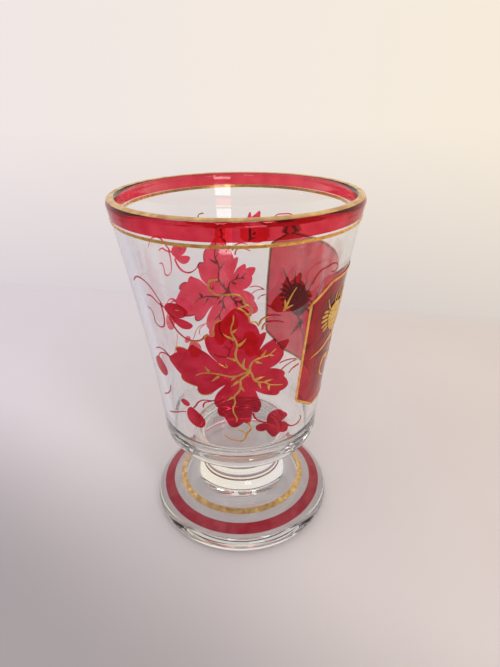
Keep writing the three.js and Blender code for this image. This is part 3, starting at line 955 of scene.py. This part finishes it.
VINE_LEAF = Blot((
    ((-1, 60.4), (2, 60.2), (4, 59.6), (5.4, 55.4), (7.5, 54.5), (9.7, 51.2)),
    ((12.5, 51.7), (12.4, 50), (11, 47.5), (9, 45), (7.5, 44)),
    ((9.6, 45.4), (11.8, 47.1), (14.6, 48.3), (17.4, 49), (18.2, 47.1)),
    ((21, 47.7), (25.1, 47.6), (24.5, 45.8), (22.6, 44.2)),
    ((23, 42.5), (22.6, 41.7), (20.9, 40), (18.1, 38.8), (15.5, 38.2)),
    ((20.2, 37.5), (23.7, 36.2), (25.1, 35), (24.5, 34)),
    ((26.9, 32.1), (28.1, 30.2), (26.9, 29), (23, 28.1)),
    ((22.3, 27.1), (20.2, 26.8), (17.4, 27.3), (13.2, 28.3), (8.6, 30)),
    ((10, 27.5), (11.8, 25), (12, 23.1), (10, 21), (7, 21.5)),
    ((6.5, 20), (6.3, 17.9), (4.4, 16.5), (1.9, 17.1)),
    ((-0.2, 16), (-2.3, 15.2), (-4.7, 14.9), (-6.5, 15.4), (-8.3, 17.1), (-9.9, 19.3)),
    ((-13.2, 20), (-13.4, 22.9)),
    ((-15.3, 24.8), (-14.6, 27.1), (-12.8, 29.2), (-10, 31.3), (-7.9, 32.7)),
    ((-11.4, 31.3), (-14.9, 29.4), (-18.8, 27.9), (-22.7, 27.7), (-24.4, 28.5), (-24.4, 30.6)),
    ((-29, 30.8), (-33.9, 31.7), (-34.3, 33.5)),
    ((-38, 35.5), (-41.4, 38.6), (-38, 40.6), (-34, 42.4)),
    ((-34.4, 43.9), (-31.6, 44.7), (-26.9, 44.4)),
    ((-25.8, 45.6), (-24.1, 46.5), (-20.5, 45.6), (-16.3, 44.2), (-12.8, 42.1), (-7.6, 39.6)),
    ((-11.4, 41.5), (-14.9, 44), (-16.3, 46.3), (-16.7, 48.8), (-15.6, 50.8), (-12.1, 50.8)),
    ((-11.8, 53.3), (-10.4, 55.4), (-7.5, 56.4)),
    ((-6, 57.6), (-4.4, 58.8), (-2.6, 60), (-1, 60.4)),
))
MAIN_VEINS = strokes(
    0.75, 0.35,
    ((5.4, 37.9), (1.9, 39.4), (-0.9, 41.7), (-2.1, 44), (-1.6, 46), (-1.1, 47.5), (-1.9, 49.8),
     (-3.6, 52.1), (-3.7, 53.8), (-2.6, 56), (-2.4, 58.3)),
    ((5.4, 37.9), (5.1, 39.8), (6.8, 41.7), (10.3, 42.7), (14.6, 43.3), (16.3, 44.2), (18.2, 45.3)),
    ((5.4, 37.9), (6.5, 36.2), (7.5, 34.6), (10, 33.5), (13.2, 33.1), (16, 31.9), (20.2, 31.2),
     (24.7, 30.6)),
    ((5.4, 37.9), (2.6, 36.2), (0.2, 34.8), (0.2, 32.5), (-0.9, 30.2), (-3.3, 28.3), (-3.1, 25.6),
     (-4.4, 23.3), (-4, 21.2), (-2.3, 18.8), (-3, 17.3)),
    ((5.4, 37.9), (1.9, 37.3), (-2.3, 36.2), (-6.5, 36.2), (-10, 36.7), (-14.9, 36.9), (-19.8, 36.5),
     (-24.4, 34.8)),
)
SIDE_VEINS = strokes(
    1.15, 0.15,
    ((-1.1, 47.5), (1.2, 48.5), (3.3, 50.3)),
    ((-1.9, 49.8), (-5.1, 50.6), (-7.6, 51.9)),
    ((-3.6, 52.1), (-0.9, 53.5)),
    ((-1.6, 42.3), (-6.9, 43.3)),
    ((1.2, 39.6), (2.5, 43.1)),
    ((11, 42.9), (13.2, 45.4)),
    ((14.9, 43.4), (17.7, 42.8)),
    ((7.9, 41.5), (11.5, 40.5)),
    ((7.9, 34.6), (13.2, 35.4)),
    ((10, 33.5), (11.4, 30.6)),
    ((13.2, 33.3), (18.1, 33.8)),
    ((15.6, 31.9), (16.1, 29.4)),
    ((0.2, 32.1), (2.3, 30.1)),
    ((-0.9, 34.5), (-5.1, 32)),
    ((-3.7, 28.1), (-7.9, 26.3)),
    ((-16, 37.1), (-18.4, 39.2)),
    ((-11, 36.2), (-15.6, 33.5)),
    ((-2.3, 36.2), (-5.1, 34.4)),
)
LEAF_EDGING = strokes(
    0.45, 0.3,
    ((-16.7, 48.8), (-15.6, 50.8), (-12.1, 50.8), (-11.8, 53.3), (-10.4, 55.4), (-7.5, 56.4)),
    ((-24.4, 30.6), (-29, 30.8), (-33.9, 31.7), (-34.3, 33.5)),
    ((-14.9, 29.4), (-18.8, 27.9), (-22.7, 27.7), (-24.4, 28.5), (-24.4, 30.6)),
    ((-34, 42.4), (-34.4, 43.9), (-31.6, 44.7), (-26.9, 44.4)),
    ((-11, 41), (-8.5, 40), (-6.6, 39.4), (-7.2, 41)),
)
TWIN_LEAVES = (
    Blot((
        ((-36.5, 57.5), (-34.5, 59.3), (-31, 60), (-26.5, 59.6), (-23.4, 57.7), (-25.5, 56), (-30, 55),
         (-34, 55.5), (-36.5, 57.5)),
    )),
    Blot((
        ((-34.3, 55.6), (-30, 55.2), (-25, 54.8), (-21.8, 53.6), (-23.5, 52.2), (-27.5, 51.8), (-31, 53),
         (-34.3, 55.6)),
    )),
)
TWIN_STALK = strokes(
    0.7, 0.5,
    ((-34.5, 55), (-32.1, 51.2), (-29, 49.2), (-25.5, 48.2), (-21.3, 48.2), (-18.1, 49.1), (-16.5, 50.4),
     (-14.5, 51.2)),
)
CURLS = strokes(
    0.6, 0.4,
    ((-58, 62.5), (-53, 64.8), (-48, 65), (-43, 63.5), (-39.5, 60.5), (-36.5, 57.5)),
    ((-47.5, 59.8), (-44, 60.2), (-41, 59), (-37, 57.6)),
    ((-38.5, 59), (-38.3, 53), (-40, 50.5), (-43, 49.8), (-46, 50.8), (-46, 53), (-47, 55), (-50, 55.3)),
)
SIDE_LEAF = Blot((
    ((-52, 37), (-48.5, 35), (-46, 32), (-49, 29.6), (-53, 29.6), (-57, 31.5), (-57, 34.5), (-52, 37)),
))
SIDE_STALKS = strokes(
    0.6, 0.4,
    ((-40.5, 38.8), (-45, 39.6), (-50, 38.2), (-52, 36.8)),
    ((-40.5, 39), (-44, 40.6), (-48, 40.9), (-53, 39.5)),
)
LOWER_LEFT_LEAVES = (
    Blot((
        ((-31.5, 20.8), (-27, 19.4), (-23, 16.8), (-22.7, 14.6), (-25.5, 12.7), (-30, 12.6), (-34.5, 14),
         (-35.8, 16.5), (-34.3, 19.4), (-31.5, 20.8)),
    )),
    Blot((
        ((-39, 21.8), (-37, 23.1), (-34, 23), (-32, 21.8), (-33.5, 20.6), (-37, 20.5), (-39, 21.8)),
    )),
)
LOWER_LEFT_STALKS = strokes(
    0.6, 0.4,
    ((-30, 20.5), (-28, 21.7), (-25.5, 23.8), (-22, 25.2), (-16.3, 25.6), (-14.8, 26)),
    ((-22.7, 21.9), (-21.3, 24.2), (-17.7, 25.2), (-14.8, 26)),
    ((-55, 12.5), (-50, 13.8), (-44, 15.5), (-40, 16.8), (-36, 17.5)),
)
LOWER_RIGHT_LEAF = Blot((
    ((16.3, 15.4), (16.1, 17.9), (17.4, 19.6), (20.2, 20.4), (24.4, 20.2), (26.5, 19)),
    ((30.4, 16.5), (27.6, 15.2), (25.8, 14.6)),
    ((29.3, 13.8), (31.8, 12.1), (31.4, 9.4), (25.8, 10)),
    ((21.6, 8.5), (18.1, 10.4), (16, 12.5)),
    ((12.5, 12.3), (9.3, 13.5), (9.6, 15.2), (13.2, 15.8), (16.3, 15.4)),
))
LOWER_RIGHT_STALKS = strokes(
    0.7, 0.4,
    ((7.2, 21), (9, 18.3), (11.8, 16.9), (15.3, 15.9), (17.5, 15.6)),
    ((31.2, 12.3), (34.2, 10.8), (38.4, 10.2), (42, 10.9), (43.4, 12), (42, 13.3)),
)
BOTTOM_CURL = strokes(
    0.8, 0.4,
    ((4.6, 17.2), (5.3, 15.6), (6.1, 14.2), (4.4, 12.7), (1.9, 12.7), (-0.2, 13.8), (-2.3, 13.5)),
    ((4.4, 12.7), (3.3, 11.6), (2.6, 10), (0.5, 9), (-4.4, 9.4), (-8.6, 10.4), (-10.4, 11.5)),
)
TOP_TENDRIL = strokes(
    0.55, 0.5,
    ((-8, 69), (-11.5, 68.7), (-12, 66.5), (-9.5, 64.6), (-6, 64.5), (-2, 64.8), (0.5, 64.3), (2, 63),
     (2.6, 61.2), (0.5, 60.8)),
    ((2.4, 61.2), (4.5, 61), (5.8, 59.5), (4.5, 58.3), (2.5, 58.8)),
    ((-1, 60.4), (1, 60), (3, 58.8), (4.3, 57.5), (5.2, 55.5), (7, 55.8), (9, 54)),
)
HAIR_LINES = strokes(
    0.5, 0.4,
    ((20.9, 39.3), (23.7, 39.9), (27.9, 39.9), (32.1, 39)),
    ((22.5, 36.6), (26.5, 38.3), (32.4, 39)),
    ((27.6, 34.4), (30, 36.2), (34.2, 36.9)),
)
SPRINGING_ARCS = strokes(
    0.7, 0.3,
    ((9.4, 54.6), (10, 56), (12.5, 57), (15, 57.3), (19.5, 56.7)),
    ((10.8, 52.6), (11.5, 54.5), (13.5, 55.2), (18, 55), (21.5, 54)),
)
BUD_LEAF = Blot((
    ((20.3, 57.9), (16.5, 58.3), (14, 60), (15.5, 62.5), (18.5, 64.3)),
    ((19, 67), (20.5, 69), (21.5, 67)),
    ((24, 68.2), (26.5, 69.5), (27, 67)),
    ((29.5, 65.5), (30, 63.5)),
    ((33, 62.8), (34.8, 61), (32.5, 59), (27, 57.6), (20.3, 57.9)),
))
BUD_STALK = strokes(
    0.6, 0.5,
    ((12, 61.2), (14, 60.2), (16.5, 59.6)),
)
BUD_VEINS = strokes(
    0.9, 0.3,
    ((20.3, 58), (21.8, 60.5), (23.5, 63), (25.5, 65.2)),
    ((21, 58.9), (20.3, 62)),
    ((21, 58.8), (25, 59.6)),
)
CORNER_TENDRIL = strokes(
    0.55, 0.4,
    ((34, 64.5), (35.5, 67), (38, 68.5), (42, 69), (46, 69.3), (49.5, 68.5), (50.5, 67.3), (48.5, 66.3),
     (45.5, 67)),
)
TENDRIL_GILDING = strokes(
    0.4, 0.2,
    ((9.2, 54.4), (9.8, 55.8), (12.3, 56.8), (14.5, 57)),
    ((10.6, 52.4), (11.3, 54.3), (13.3, 55)),
    ((30, 36), (33.8, 36.8)),
    ((30, 39.3), (33.2, 38.8)),
    ((-25.5, 48), (-21.3, 48), (-18.1, 48.9), (-15, 50.9)),
    ((-30, 57.8), (-27.5, 58)),
    ((38.4, 10), (42, 10.7), (43.4, 12)),
)
LEFT_HEAD = Blot((
    ((62, 53.8), (57.5, 54.3), (53.6, 53.2), (52, 51), (52.4, 48.6), (54.5, 45.8), (58.5, 43.9),
     (62.6, 43.3)),
    ((67, 43.9), (70.8, 45.9), (72.9, 49), (72.4, 52), (69.5, 54), (65.5, 54.3), (62, 53.8)),
), 0.7)
LEFT_PETALS = strokes(
    1.25, 0.95,
    ((54.5, 51.4), (50, 52.3), (47.2, 52.6)),
    ((54, 50.2), (49.5, 50.9), (46.2, 51)),
    ((54, 49), (49.5, 49.3), (46.3, 49.2)),
    ((54.3, 47.8), (50.5, 47.6), (47.4, 47.1)),
    ((55, 46.6), (51.8, 46), (49.4, 45.3)),
    ((70.5, 52), (74.6, 53), (77.4, 53.3)),
    ((71, 50.6), (75.4, 51.4), (78.7, 51.5)),
    ((71, 49.2), (75.6, 49.5), (78.8, 49.4)),
    ((70.7, 47.9), (74.6, 47.7), (77.7, 47.2)),
    ((70, 46.6), (73.2, 46), (75.6, 45.3)),
)
LEFT_SPIKES = strokes(
    0.9, 0.25,
    ((53.5, 52.5), (50.9, 54.3), (48.6, 57.2)),
    ((57.8, 53.5), (57, 55.6), (56.9, 58)),
    ((60.8, 53.6), (60.4, 55.4), (60.5, 57.3)),
    ((65, 53.8), (65.4, 56), (66.2, 58.2)),
    ((68.6, 53.6), (69.8, 55.2), (71.8, 57)),
)
LEFT_LEAVES = strokes(
    2.3, 0.3,
    ((68.5, 40.4), (62, 40.3), (57.7, 39.7), (54.8, 38.6), (49.5, 37.8), (44.9, 37.3), (42.2, 36.7)),
    ((67, 31.5), (63, 33), (58.6, 33.2), (56.4, 30.6), (57, 27.8), (60.4, 25.6), (66, 24.2)),
    ((74.8, 29.8), (79.5, 32.6), (84, 36.8), (86.5, 41)),
    ((80.5, 24.6), (86.5, 26.4), (92, 29.6)),
)
LEFT_STALK = strokes(
    1.1, 0.5,
    ((62.8, 44), (64.6, 41.5), (68, 38.9), (71.4, 34), (75, 29.6), (80, 24.8), (86, 20.3)),
    ((67, 31.5), (70.4, 31.4), (73.2, 31.8)),
    ((68, 39.6), (66.5, 40.8), (64, 42.4)),
)
RIGHT_HEAD = Blot((
    ((130, 44.6), (125.5, 44.2), (121.4, 42.6), (119.2, 39.6), (119.8, 36), (123, 33.2), (127.4, 31.9)),
    ((132.6, 31.8), (137.4, 33.3), (140.6, 36.2), (141, 39.8), (138.7, 42.7), (134.5, 44.3), (130, 44.6)),
), 0.7)
RIGHT_PETALS = strokes(
    1.3, 1.0,
    ((121, 41), (117, 42), (113.8, 42.4)),
    ((120.6, 39.6), (116.2, 40.1), (112.6, 40.2)),
    ((120.6, 38.1), (116.2, 38.2), (112.7, 37.9)),
    ((121, 36.6), (117, 36.3), (113.9, 35.6)),
    ((139.4, 41), (143.5, 42), (146.6, 42.4)),
    ((139.9, 39.6), (144.2, 40.1), (147.7, 40.2)),
    ((139.9, 38.1), (144.2, 38.2), (147.6, 37.9)),
    ((139.4, 36.6), (143.4, 36.3), (146.4, 35.6)),
    ((138.4, 35.2), (141.8, 34.5), (144.3, 33.4)),
)
RIGHT_SPIKES = strokes(
    1.1, 0.3,
    ((138.2, 42.4), (142, 45), (146.8, 49)),
    ((134.4, 43.6), (135.4, 46), (135.4, 49)),
    ((129.8, 43.8), (129.9, 46), (130, 49.4)),
    ((125.4, 43.6), (124, 46), (123.4, 48.6)),
    ((121.4, 42.2), (119, 45), (117.8, 49.4)),
)
RIGHT_LEAVES = strokes(
    2.6, 0.3,
    ((113, 28), (110.6, 36), (108.4, 43), (104.2, 48.6), (102.4, 52.4), (106.6, 56.6)),
    ((121, 31.2), (125.4, 28.4), (129, 25.6), (133.4, 22.6)),
    ((111.6, 22), (105.6, 23.6), (101, 27)),
)
RIGHT_STALK = strokes(
    1.1, 0.5,
    ((129, 33), (124.6, 30), (119, 25.9), (113.6, 22.3), (108, 19.6)),
    ((119, 25.9), (115.6, 26.4), (113, 28)),
)
LOW_SPRAY = strokes(
    0.6, 0.4,
    ((-58, 19.7), (-52, 21.5), (-48, 24), (-46.5, 26.5)),
)


@dataclass
class Panel:
    """The wide ruby panel on the right: an oblong with cut corners, a gold border and two flowers."""

    wall: BowlWall
    edge_turn: float = 35.7
    low: float = 15.2
    high: float = 63.0
    low_cut: tuple[float, float] = (17.3, 6.3)
    high_cut: tuple[float, float] = (13.0, 5.2)
    point_spacing: float = 1.2
    border_width: float = 1.0
    spur: Places = ((35.9, 57.9), (33.8, 56.7))  # where the border's brush ran past the corner
    spur_widths: tuple[float, float] = (0.8, 0.2)

    def corners(self) -> Places:
        """The outline's corners, from the lower left one round.

        Returns:
            The corners' places.
        """
        left, right = self.edge_turn, 2 * self.wall.mirror_turn - self.edge_turn
        (low_in, low_up), (high_in, high_down) = self.low_cut, self.high_cut
        return (
            (left, self.low + low_up),
            (left + low_in, self.low),
            (right - low_in, self.low),
            (right, self.low + low_up),
            (right, self.high - high_down),
            (right - high_in, self.high),
            (left + high_in, self.high),
            (left, self.high - high_down),
        )

    def motifs(self) -> tuple[Motif, ...]:
        """The panel's painted pieces.

        Returns:
            The pieces, from the field to the flowers.
        """
        corners = self.corners()
        after = corners[1:] + corners[:1]
        field = Blot((corners[:2], *((corner,) for corner in after[1:])), self.point_spacing)
        border = strokes(self.border_width, self.border_width, *zip(corners, after))
        left = LEFT_PETALS + LEFT_SPIKES + LEFT_LEAVES + LEFT_STALK
        right = RIGHT_PETALS + RIGHT_SPIKES + RIGHT_LEAVES + RIGHT_STALK
        return (
            Motif("ruby_panel", Finish.PANEL, (field,)),
            Motif("panel_border", Finish.GOLD, strokes=border + strokes(*self.spur_widths, self.spur)),
            Motif("panel_left_flower", Finish.GOLD, strokes=left),
            Motif("panel_left_flower_head", Finish.STIPPLED, (LEFT_HEAD,), in_frame=False),
            Motif("panel_right_flower", Finish.GOLD, strokes=right),
            Motif("panel_right_flower_head", Finish.STIPPLED, (RIGHT_HEAD,), in_frame=False),
        )

    def build(self, finishes: Finishes) -> None:
        """Makes the panel's pieces."""
        for motif in self.motifs():
            motif.build(motif.name, self.wall, Side.FRONT, finishes)


SPRAY_MOTIFS = (
    Motif("vine_leaf", Finish.STAIN, (VINE_LEAF,)),
    Motif("leaf_veins", Finish.GOLD, strokes=MAIN_VEINS + SIDE_VEINS + LEAF_EDGING),
    Motif("bud_leaf", Finish.STAIN, (BUD_LEAF,), BUD_STALK),
    Motif("bud_leaf_vein", Finish.GOLD, strokes=BUD_VEINS),
    Motif("twin_leaves", Finish.STAIN, TWIN_LEAVES, TWIN_STALK),
    Motif("curled_tendril", Finish.STAIN, strokes=CURLS),
    Motif("side_leaf", Finish.STAIN, (SIDE_LEAF,), SIDE_STALKS),
    Motif("low_spray", Finish.STAIN, strokes=LOW_SPRAY),
    Motif("lower_left_leaves", Finish.STAIN, LOWER_LEFT_LEAVES, LOWER_LEFT_STALKS),
    Motif("lower_right_leaf", Finish.STAIN, (LOWER_RIGHT_LEAF,), LOWER_RIGHT_STALKS),
    Motif("bottom_curl", Finish.GOLD, strokes=BOTTOM_CURL),
    Motif("top_tendril", Finish.GOLD, strokes=TOP_TENDRIL),
    Motif("hair_lines", Finish.STAIN, strokes=HAIR_LINES),
    Motif("springing_arcs", Finish.STAIN, strokes=SPRINGING_ARCS),
    Motif("corner_tendril", Finish.STAIN, strokes=CORNER_TENDRIL),
    Motif("tendril_gilding", Finish.GOLD, strokes=TENDRIL_GILDING, in_frame=False),
)


@dataclass
class Spray:
    """A spray of vine round one side: its great leaf, small leaves, curls and hair lines."""

    wall: BowlWall
    side: Side

    def build(self, finishes: Finishes) -> None:
        """Makes the spray's pieces."""
        for motif in SPRAY_MOTIFS:
            motif.build(f"{self.side.value}_{motif.name}", self.wall, self.side, finishes)


@dataclass
class PhotoCamera:
    """The photograph's camera, solved on the glass's circles."""

    distance: float = 160.76
    height: float = 156.0
    yaw: float = 1.39  # degrees, as the next two are
    pitch: float = 27.18
    roll: float = -0.51
    focal_pixels: float = 501.0
    long_side_pixels: float = 667.0
    sensor_width: float = 36.0
    nearest: float = 5.0  # nothing nearer than this shows

    def build(self) -> None:
        """Makes the camera and sets it."""
        yaw, pitch, roll = (math.radians(a) for a in (self.yaw, self.pitch, self.roll))
        ahead = Vector((math.sin(yaw) * math.cos(pitch), math.cos(yaw) * math.cos(pitch), -math.sin(pitch)))
        level = Vector((math.cos(yaw), -math.sin(yaw), 0))
        upright = level.cross(ahead)
        right = math.cos(roll) * level + math.sin(roll) * upright
        up = math.cos(roll) * upright - math.sin(roll) * level
        data = bpy.data.cameras.new("photo_camera")
        data.sensor_width = self.sensor_width
        data.lens = self.focal_pixels / self.long_side_pixels * self.sensor_width
        data.clip_start = self.nearest * MM
        camera = new_object("photo_camera", data)
        turn = Matrix((right, up, -ahead)).transposed().to_4x4()
        camera.matrix_world = Matrix.Translation(Vector((0, -self.distance, self.height)) * MM) @ turn
        bpy.context.scene.camera = camera


@dataclass
class Studio:
    """A white cloth before a pale wall, lit by three windows and the room."""

    cloth_reach: float = 1500.0
    cloth_depth: float = 0.15  # the cloth's face lies this far under the foot's flat ring
    cloth_far: float = 194.7  # the far edge straight behind the glass
    cloth_slant: float = -0.236  # how the far edge draws nearer towards the right
    cloth_fade: float = 22.0
    cloth_cool: str = "#E8E2EE"
    cloth_warm: str = "#E9DED8"
    cloth_tone_reach: float = 150.0  # its colour changes between this far left and right
    cloth_painted_shade: float = 0.56  # painted shade: the share of the cloth's colour that the near left corner keeps
    cloth_painted_shade_way: tuple[float, float, float] = (0.7, 1.0, 0.0)
    cloth_painted_shade_start: float = -110.0
    cloth_painted_shade_end: float = -10.0
    cloth_roughness: float = 0.95
    cloth_sheen: float = 0.1
    cloth_fold: float = 120.0  # the width of its soft folds, which are painted as light and shade on a flat sheet
    cloth_fold_shading: float = 0.06  # how much their painted light and shade lighten and darken it
    cloth_seen: float = 0.3  # how far glass and metal see the cloth's plain colour
    cloth_glow: float = 0.75
    wall_cool: str = "#F0E7E6"
    wall_warm: str = "#F7ECDB"
    wall_tone_reach: float = 0.45  # its colour changes between looks this far left and right
    wall_shade: str = "#E0E0EA"
    wall_shade_fade: tuple[float, float] = (-0.42, -0.08)  # looks upwards between which the shade fades
    room: str = "#9C948F"
    room_fade: tuple[float, float] = (-0.5, 0.3)  # looks ahead between which the room gives way to the wall
    daylight: str = "#FFFAF4"
    day_strength: float = 0.8
    windows: tuple = (  # azimuth, elevation, watts and width
        (-16.0, 45.0, 0.9, 160.0),
        (31.0, 45.0, 1.3, 160.0),
        (15.0, 8.0, 1.1, 360.0),
    )
    window_height: float = 300.0
    window_distance: float = 1200.0
    window_aim: float = 60.0  # the height that the windows are hung round and face

    def cloth_material(self) -> bpy.types.Material:
        """White cotton, cool on the left and warm on the right, with painted shade that darkens it towards
        the near left and the painted light and shade of soft folds.

        Its far edge fades out along a line, as it does out of focus.

        Returns:
            The material.
        """
        material, tree = new_material("white_cotton")
        place = add_node(tree, "ShaderNodeTexCoord").outputs["Object"]
        x = add_node(tree, "ShaderNodeSeparateXYZ", {"Vector": place}).outputs["X"]
        reach = self.cloth_tone_reach * MM
        _, tone = graded(tree, x, -reach, reach, linear(self.cloth_cool), linear(self.cloth_warm))
        # Painted shade: the cloth's colour darkens smoothly towards the near left
        low, high = self.cloth_painted_shade_start * MM, self.cloth_painted_shade_end * MM
        shade = risen(tree, place, self.cloth_painted_shade_way, low, high, self.cloth_painted_shade)
        # Painted light and shade of soft folds: a noise lightens and darkens the cloth's colour
        scale = 1 / (self.cloth_fold * MM)
        fold_shading_noise = add_node(tree, "ShaderNodeTexNoise", {"Vector": place, "Scale": scale, "Detail": 2.0})
        dark, bright = 1 - self.cloth_fold_shading, 1 + self.cloth_fold_shading
        lift = {"Value": fold_shading_noise.outputs["Fac"], "To Min": dark, "To Max": bright}
        fold_shading = add_node(tree, "ShaderNodeMapRange", lift).outputs["Result"]
        both = add_node(tree, "ShaderNodeMath", {0: shade, 1: fold_shading}, operation="MULTIPLY")
        scaled = {0: tone, "Scale": both.outputs["Value"]}
        colour = add_node(tree, "ShaderNodeVectorMath", scaled, operation="SCALE").outputs["Vector"]
        shader = add_node(tree, "ShaderNodeBsdfPrincipled", {
            "Base Color": colour,
            "Roughness": self.cloth_roughness,
            "Specular IOR Level": self.cloth_sheen,
        })
        plain = add_node(tree, "ShaderNodeEmission", {"Color": colour, "Strength": self.cloth_glow})
        ray = add_node(tree, "ShaderNodeLightPath").outputs
        kinds = {0: ray["Is Transmission Ray"], 1: ray["Is Glossy Ray"]}
        by_glass = add_node(tree, "ShaderNodeMath", kinds, operation="MAXIMUM").outputs["Value"]
        seen = add_node(tree, "ShaderNodeMath", {0: by_glass, 1: self.cloth_seen}, operation="MULTIPLY")
        surface = add_node(tree, "ShaderNodeMixShader", {
            0: seen.outputs["Value"],
            1: shader.outputs["BSDF"],
            2: plain.outputs["Emission"],
        })
        middle, half = self.cloth_far * MM, self.cloth_fade / 2 * MM
        faded = add_node(tree, "ShaderNodeMixShader", {
            0: risen(tree, place, (-self.cloth_slant, 1.0, 0.0), middle - half, middle + half),
            1: surface.outputs["Shader"],
            2: add_node(tree, "ShaderNodeBsdfTransparent").outputs["BSDF"],
        })
        add_node(tree, "ShaderNodeOutputMaterial", {"Surface": faded.outputs["Shader"]})
        return material

    def cloth(self) -> None:
        """Lays the cloth: a flat sheet that ends just past its faded edge."""
        mesh = bpy.data.meshes.new("cloth")
        reach, low = self.cloth_reach, -self.cloth_depth
        right, left = (self.cloth_far + self.cloth_fade + x * self.cloth_slant for x in (reach, -reach))
        corners = ((-reach, -reach), (reach, -reach), (reach, right), (-reach, left))
        points = np.array([(*corner, low) for corner in corners]) * MM
        mesh.from_pydata(points.tolist(), [], [(0, 1, 2, 3)])
        mesh.materials.append(self.cloth_material())
        new_object("cloth", mesh)

    def world(self) -> None:
        """Sets the wall and the room as seen, mirrored and seen through, and plain daylight for the rest."""
        world = bpy.data.worlds.new("room")
        bpy.context.scene.world = world
        world.use_nodes = True
        tree = world.node_tree
        tree.nodes.clear()
        towards = add_node(tree, "ShaderNodeTexCoord").outputs["Generated"]
        parts = add_node(tree, "ShaderNodeSeparateXYZ", {"Vector": towards}).outputs
        reach = self.wall_tone_reach
        _, tone = graded(tree, parts["X"], -reach, reach, linear(self.wall_cool), linear(self.wall_warm))
        low, high = self.wall_shade_fade
        fall = {"Value": parts["Z"], "From Min": low, "From Max": high, "To Min": 1.0, "To Max": 0.0}
        shade = add_node(tree, "ShaderNodeMapRange", fall).outputs["Result"]
        colours = {0: shade, 6: tone, 7: linear(self.wall_shade)}
        wall = add_node(tree, "ShaderNodeMix", colours, data_type="RGBA", blend_type="MULTIPLY")
        _, view = graded(tree, parts["Y"], *self.room_fade, linear(self.room), wall.outputs[2])
        day = {"Color": linear(self.daylight), "Strength": self.day_strength}
        ray = add_node(tree, "ShaderNodeLightPath").outputs["Diffuse Depth"]
        lights = add_node(tree, "ShaderNodeMath", {0: ray, 1: 0.5}, operation="GREATER_THAN")
        choice = add_node(tree, "ShaderNodeMixShader", {
            0: lights.outputs["Value"],
            1: add_node(tree, "ShaderNodeBackground", {"Color": view, "Strength": 1.0}).outputs[0],
            2: add_node(tree, "ShaderNodeBackground", day).outputs[0],
        })
        add_node(tree, "ShaderNodeOutputWorld", {"Surface": choice.outputs[0]})

    def window(self, azimuth: float, elevation: float, power: float, width: float) -> None:
        """Hangs a tall soft window light that faces the glass.

        Args:
            azimuth: Its turn from the front.
            elevation: Its angle above the table.
            power: Its power in watts.
            width: Its width.
        """
        a, e = math.radians(azimuth), math.radians(elevation)
        away = Vector((math.sin(a) * math.cos(e), -math.cos(a) * math.cos(e), math.sin(e)))
        data = bpy.data.lights.new("window", "AREA")
        data.shape = "RECTANGLE"
        data.size = width * MM
        data.size_y = self.window_height * MM
        data.energy = power
        lamp = new_object("window", data)
        lamp.location = away * (self.window_distance * MM) + Vector((0, 0, self.window_aim * MM))
        lamp.rotation_mode = "QUATERNION"
        lamp.rotation_quaternion = away.to_track_quat("Z", "Y")

    def build(self) -> None:
        """Lays the cloth, sets the room and hangs the windows."""
        bpy.context.scene.view_settings.view_transform = "Standard"
        self.cloth()
        self.world()
        for window in self.windows:
            self.window(*window)


def main() -> None:
    """Sets the camera, builds the glass, its bands and its decoration, and then the studio."""
    logging.basicConfig(level=logging.INFO, format="%(name)s: %(message)s")
    PhotoCamera().build()
    wall = BowlWall()
    glass = ClearGlass(wall)
    glass.build(SodaGlass())
    fired = {
        Finish.STAIN: RubyStain(),
        Finish.PANEL: RubyStain("panel_ruby_stain", light="#DE3449", deep="#C62038"),
        Finish.BAND: RubyStain("band_ruby_stain", light="#F04459", deep="#E02A44"),
        # The foot's stain is paler and greyer: painted reflection of pale surroundings in the foot's gloss
        Finish.FOOT: RubyStain("foot_ruby_stain_painted_reflection", light="#E06470", deep="#D24157"),
        Finish.GOLD: FiredGold(),
        Finish.FOOT_GOLD: FiredGold("foot_gold", bright="#E3C38C", worn="#BA9460"),
        Finish.STIPPLED: FiredGold("stippled_gold", bright="#FBD45C", worn="#E8B244", stipple=1.15),
        Finish.RIM: FiredGold("thin_rim_gold", bright="#EBC98C", worn="#CBA273", grain=3.0),
    }
    finishes = {finish: look.material() for finish, look in fired.items()}
    Bands(glass).build(finishes)
    Panel(wall).build(finishes)
    Spray(wall, Side.FRONT).build(finishes)
    # The back spray's stain is a lighter red than the front's
    lighter = RubyStain("light_ruby_stain", light="#FA4463", deep="#EA2A48").material()
    Spray(wall, Side.BACK).build(finishes | {Finish.STAIN: lighter})
    Studio().build()


if __name__ == "__main__":
    main()
